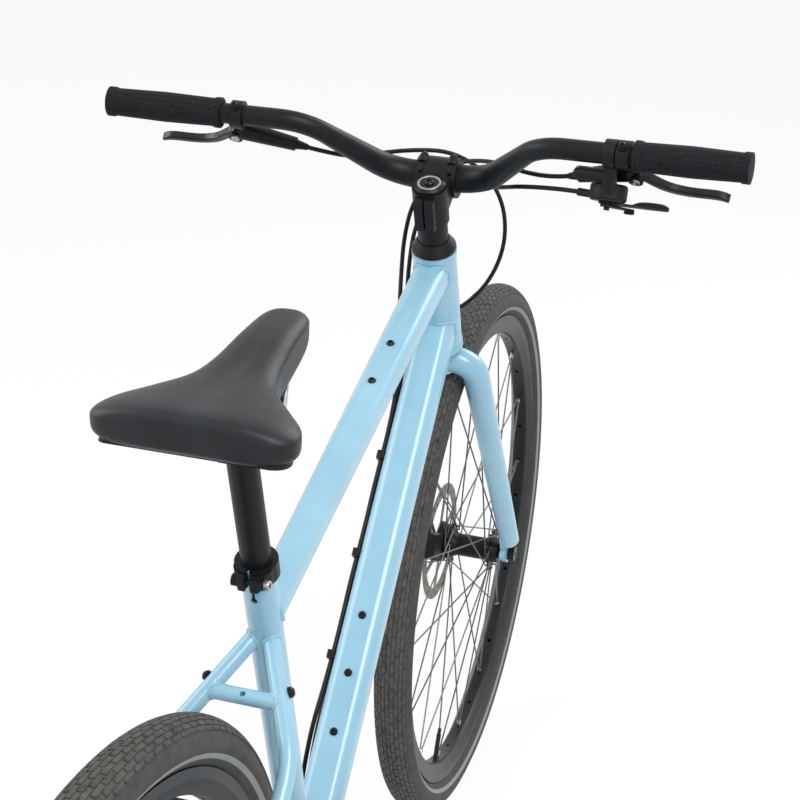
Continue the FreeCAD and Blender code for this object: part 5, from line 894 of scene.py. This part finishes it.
def make_chain():
    """The chain in three stretches: the one over the cogs rides on the frame, and the one on the pulleys and
    the lower run stay fixed where they are.
    """
    for name in ("chain_over_cogs", "chain_on_pulleys", "chain_lower_run"):
        mesh = nodes["chain"].data.copy()
        mesh.name = name
        bm = bmesh.new()
        bm.from_mesh(mesh)
        others = [point for point, stretch in stretch_of_points(bm).items() if stretch != name]
        bmesh.ops.delete(bm, geom=others, context="VERTS")
        bm.to_mesh(mesh)
        bm.free()
        piece = add_object(name, mesh)
        if name == "chain_on_pulleys":
            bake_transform(piece)
        elif name == "chain_lower_run":
            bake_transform(piece)
        else:
            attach(piece, "frame")
        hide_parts("chain")


make_chain()


# Camera, light and floor

camera_spot = Vector((-1398.74, -479.88, 1432.92))
camera_angles = (16.67, -23.34, 1.76)  # yaw, pitch and roll in degrees
camera_lens = 75.04
sensor_width = 36.0
floor_half = 12.0              # metres
floor_drop = 0.001             # metres below the tyres
floor_glow = 0.9               # how far the floor goes to plain white where it is seen
# Name, place and aim in metres, width in metres and power in watts
lights = (
    ("key", (-1.6, -1.6, 3.4), (0, 0, 0.6), 2.2, 95),
    ("fill", (-0.4, 2.8, 2.2), (0, 0, 0.6), 2.4, 45),
    ("front", (2.8, -1.2, 2.4), (0.1, 0, 0.6), 2.0, 40))


def make_camera():
    """The camera, behind and above the saddle."""
    yaw, pitch, roll = (math.radians(angle) for angle in camera_angles)
    forward = Vector((math.cos(pitch) * math.cos(yaw), math.cos(pitch) * math.sin(yaw), math.sin(pitch)))
    level = Vector((math.sin(yaw), -math.cos(yaw), 0))
    above = level.cross(forward)
    right = level * math.cos(roll) + above * math.sin(roll)
    upward = above * math.cos(roll) - level * math.sin(roll)
    data = bpy.data.cameras.new("camera")
    data.lens = camera_lens
    data.sensor_width = sensor_width
    camera = add_object("camera", data)
    turned = Matrix((right, upward, -forward)).transposed().to_4x4()
    camera.matrix_world = Matrix.Translation(camera_spot * MM) @ turned
    bpy.context.scene.camera = camera


def make_light(name, spot, target, size, power):
    """A round soft light."""
    data = bpy.data.lights.new(name, "AREA")
    data.shape = "DISK"
    data.size = size
    data.energy = power
    light = add_object(name, data)
    light.location = spot
    light.rotation_euler = (Vector(target) - Vector(spot)).to_track_quat("-Z", "Y").to_euler()


def seen(tree):
    """One where the camera, glass or a mirror looks at the background."""
    by_camera = add(tree, "ShaderNodeLightPath", output="Is Camera Ray")
    by_glass = add(tree, "ShaderNodeLightPath", output="Is Transmission Ray")
    by_mirror = add(tree, "ShaderNodeLightPath", output="Is Glossy Ray")
    straight = add(tree, "ShaderNodeMath", {0: by_camera, 1: by_glass}, operation="MAXIMUM")
    return add(tree, "ShaderNodeMath", {0: straight, 1: by_mirror}, operation="MAXIMUM")


def make_floor():
    """A wide sheet of matt white paper that fades into the background."""
    bm = bmesh.new()
    bmesh.ops.create_grid(bm, x_segments=1, y_segments=1, size=floor_half)
    mesh = bpy.data.meshes.new("floor")
    bm.to_mesh(mesh)
    bm.free()
    floor = add_object("floor", mesh)
    floor.location.z = -floor_drop
    material = bpy.data.materials.new("matt_white_paper")
    material.use_nodes = True
    tree = material.node_tree
    tree.nodes.clear()
    matt = add(tree, "ShaderNodeBsdfDiffuse", {"Color": colour("#F4F4F4")})
    glow = add(tree, "ShaderNodeEmission", {"Color": colour("#FFFFFF"), "Strength": 1.0})
    share = add(tree, "ShaderNodeMath", {0: seen(tree), 1: floor_glow}, operation="MULTIPLY")
    mix = add(tree, "ShaderNodeMixShader", {0: share, 1: matt, 2: glow})
    add(tree, "ShaderNodeOutputMaterial", {"Surface": mix})
    mesh.materials.append(material)


def make_world():
    """Plain white where it is seen, and a dimmer fill for the light."""
    world = bpy.data.worlds.new("studio")
    world.use_nodes = True
    tree = world.node_tree
    tree.nodes.clear()
    fill = add(tree, "ShaderNodeBackground", {"Color": colour("#F2F5FA"), "Strength": 0.55})
    white = add(tree, "ShaderNodeBackground", {"Color": colour("#FFFFFF"), "Strength": 1.0})
    mix = add(tree, "ShaderNodeMixShader", {0: seen(tree), 1: fill, 2: white})
    add(tree, "ShaderNodeOutputWorld", {"Surface": mix})
    bpy.context.scene.world = world


make_camera()
make_floor()
make_world()
for light in lights:
    make_light(*light)
bpy.context.scene.view_settings.view_transform = "Standard"
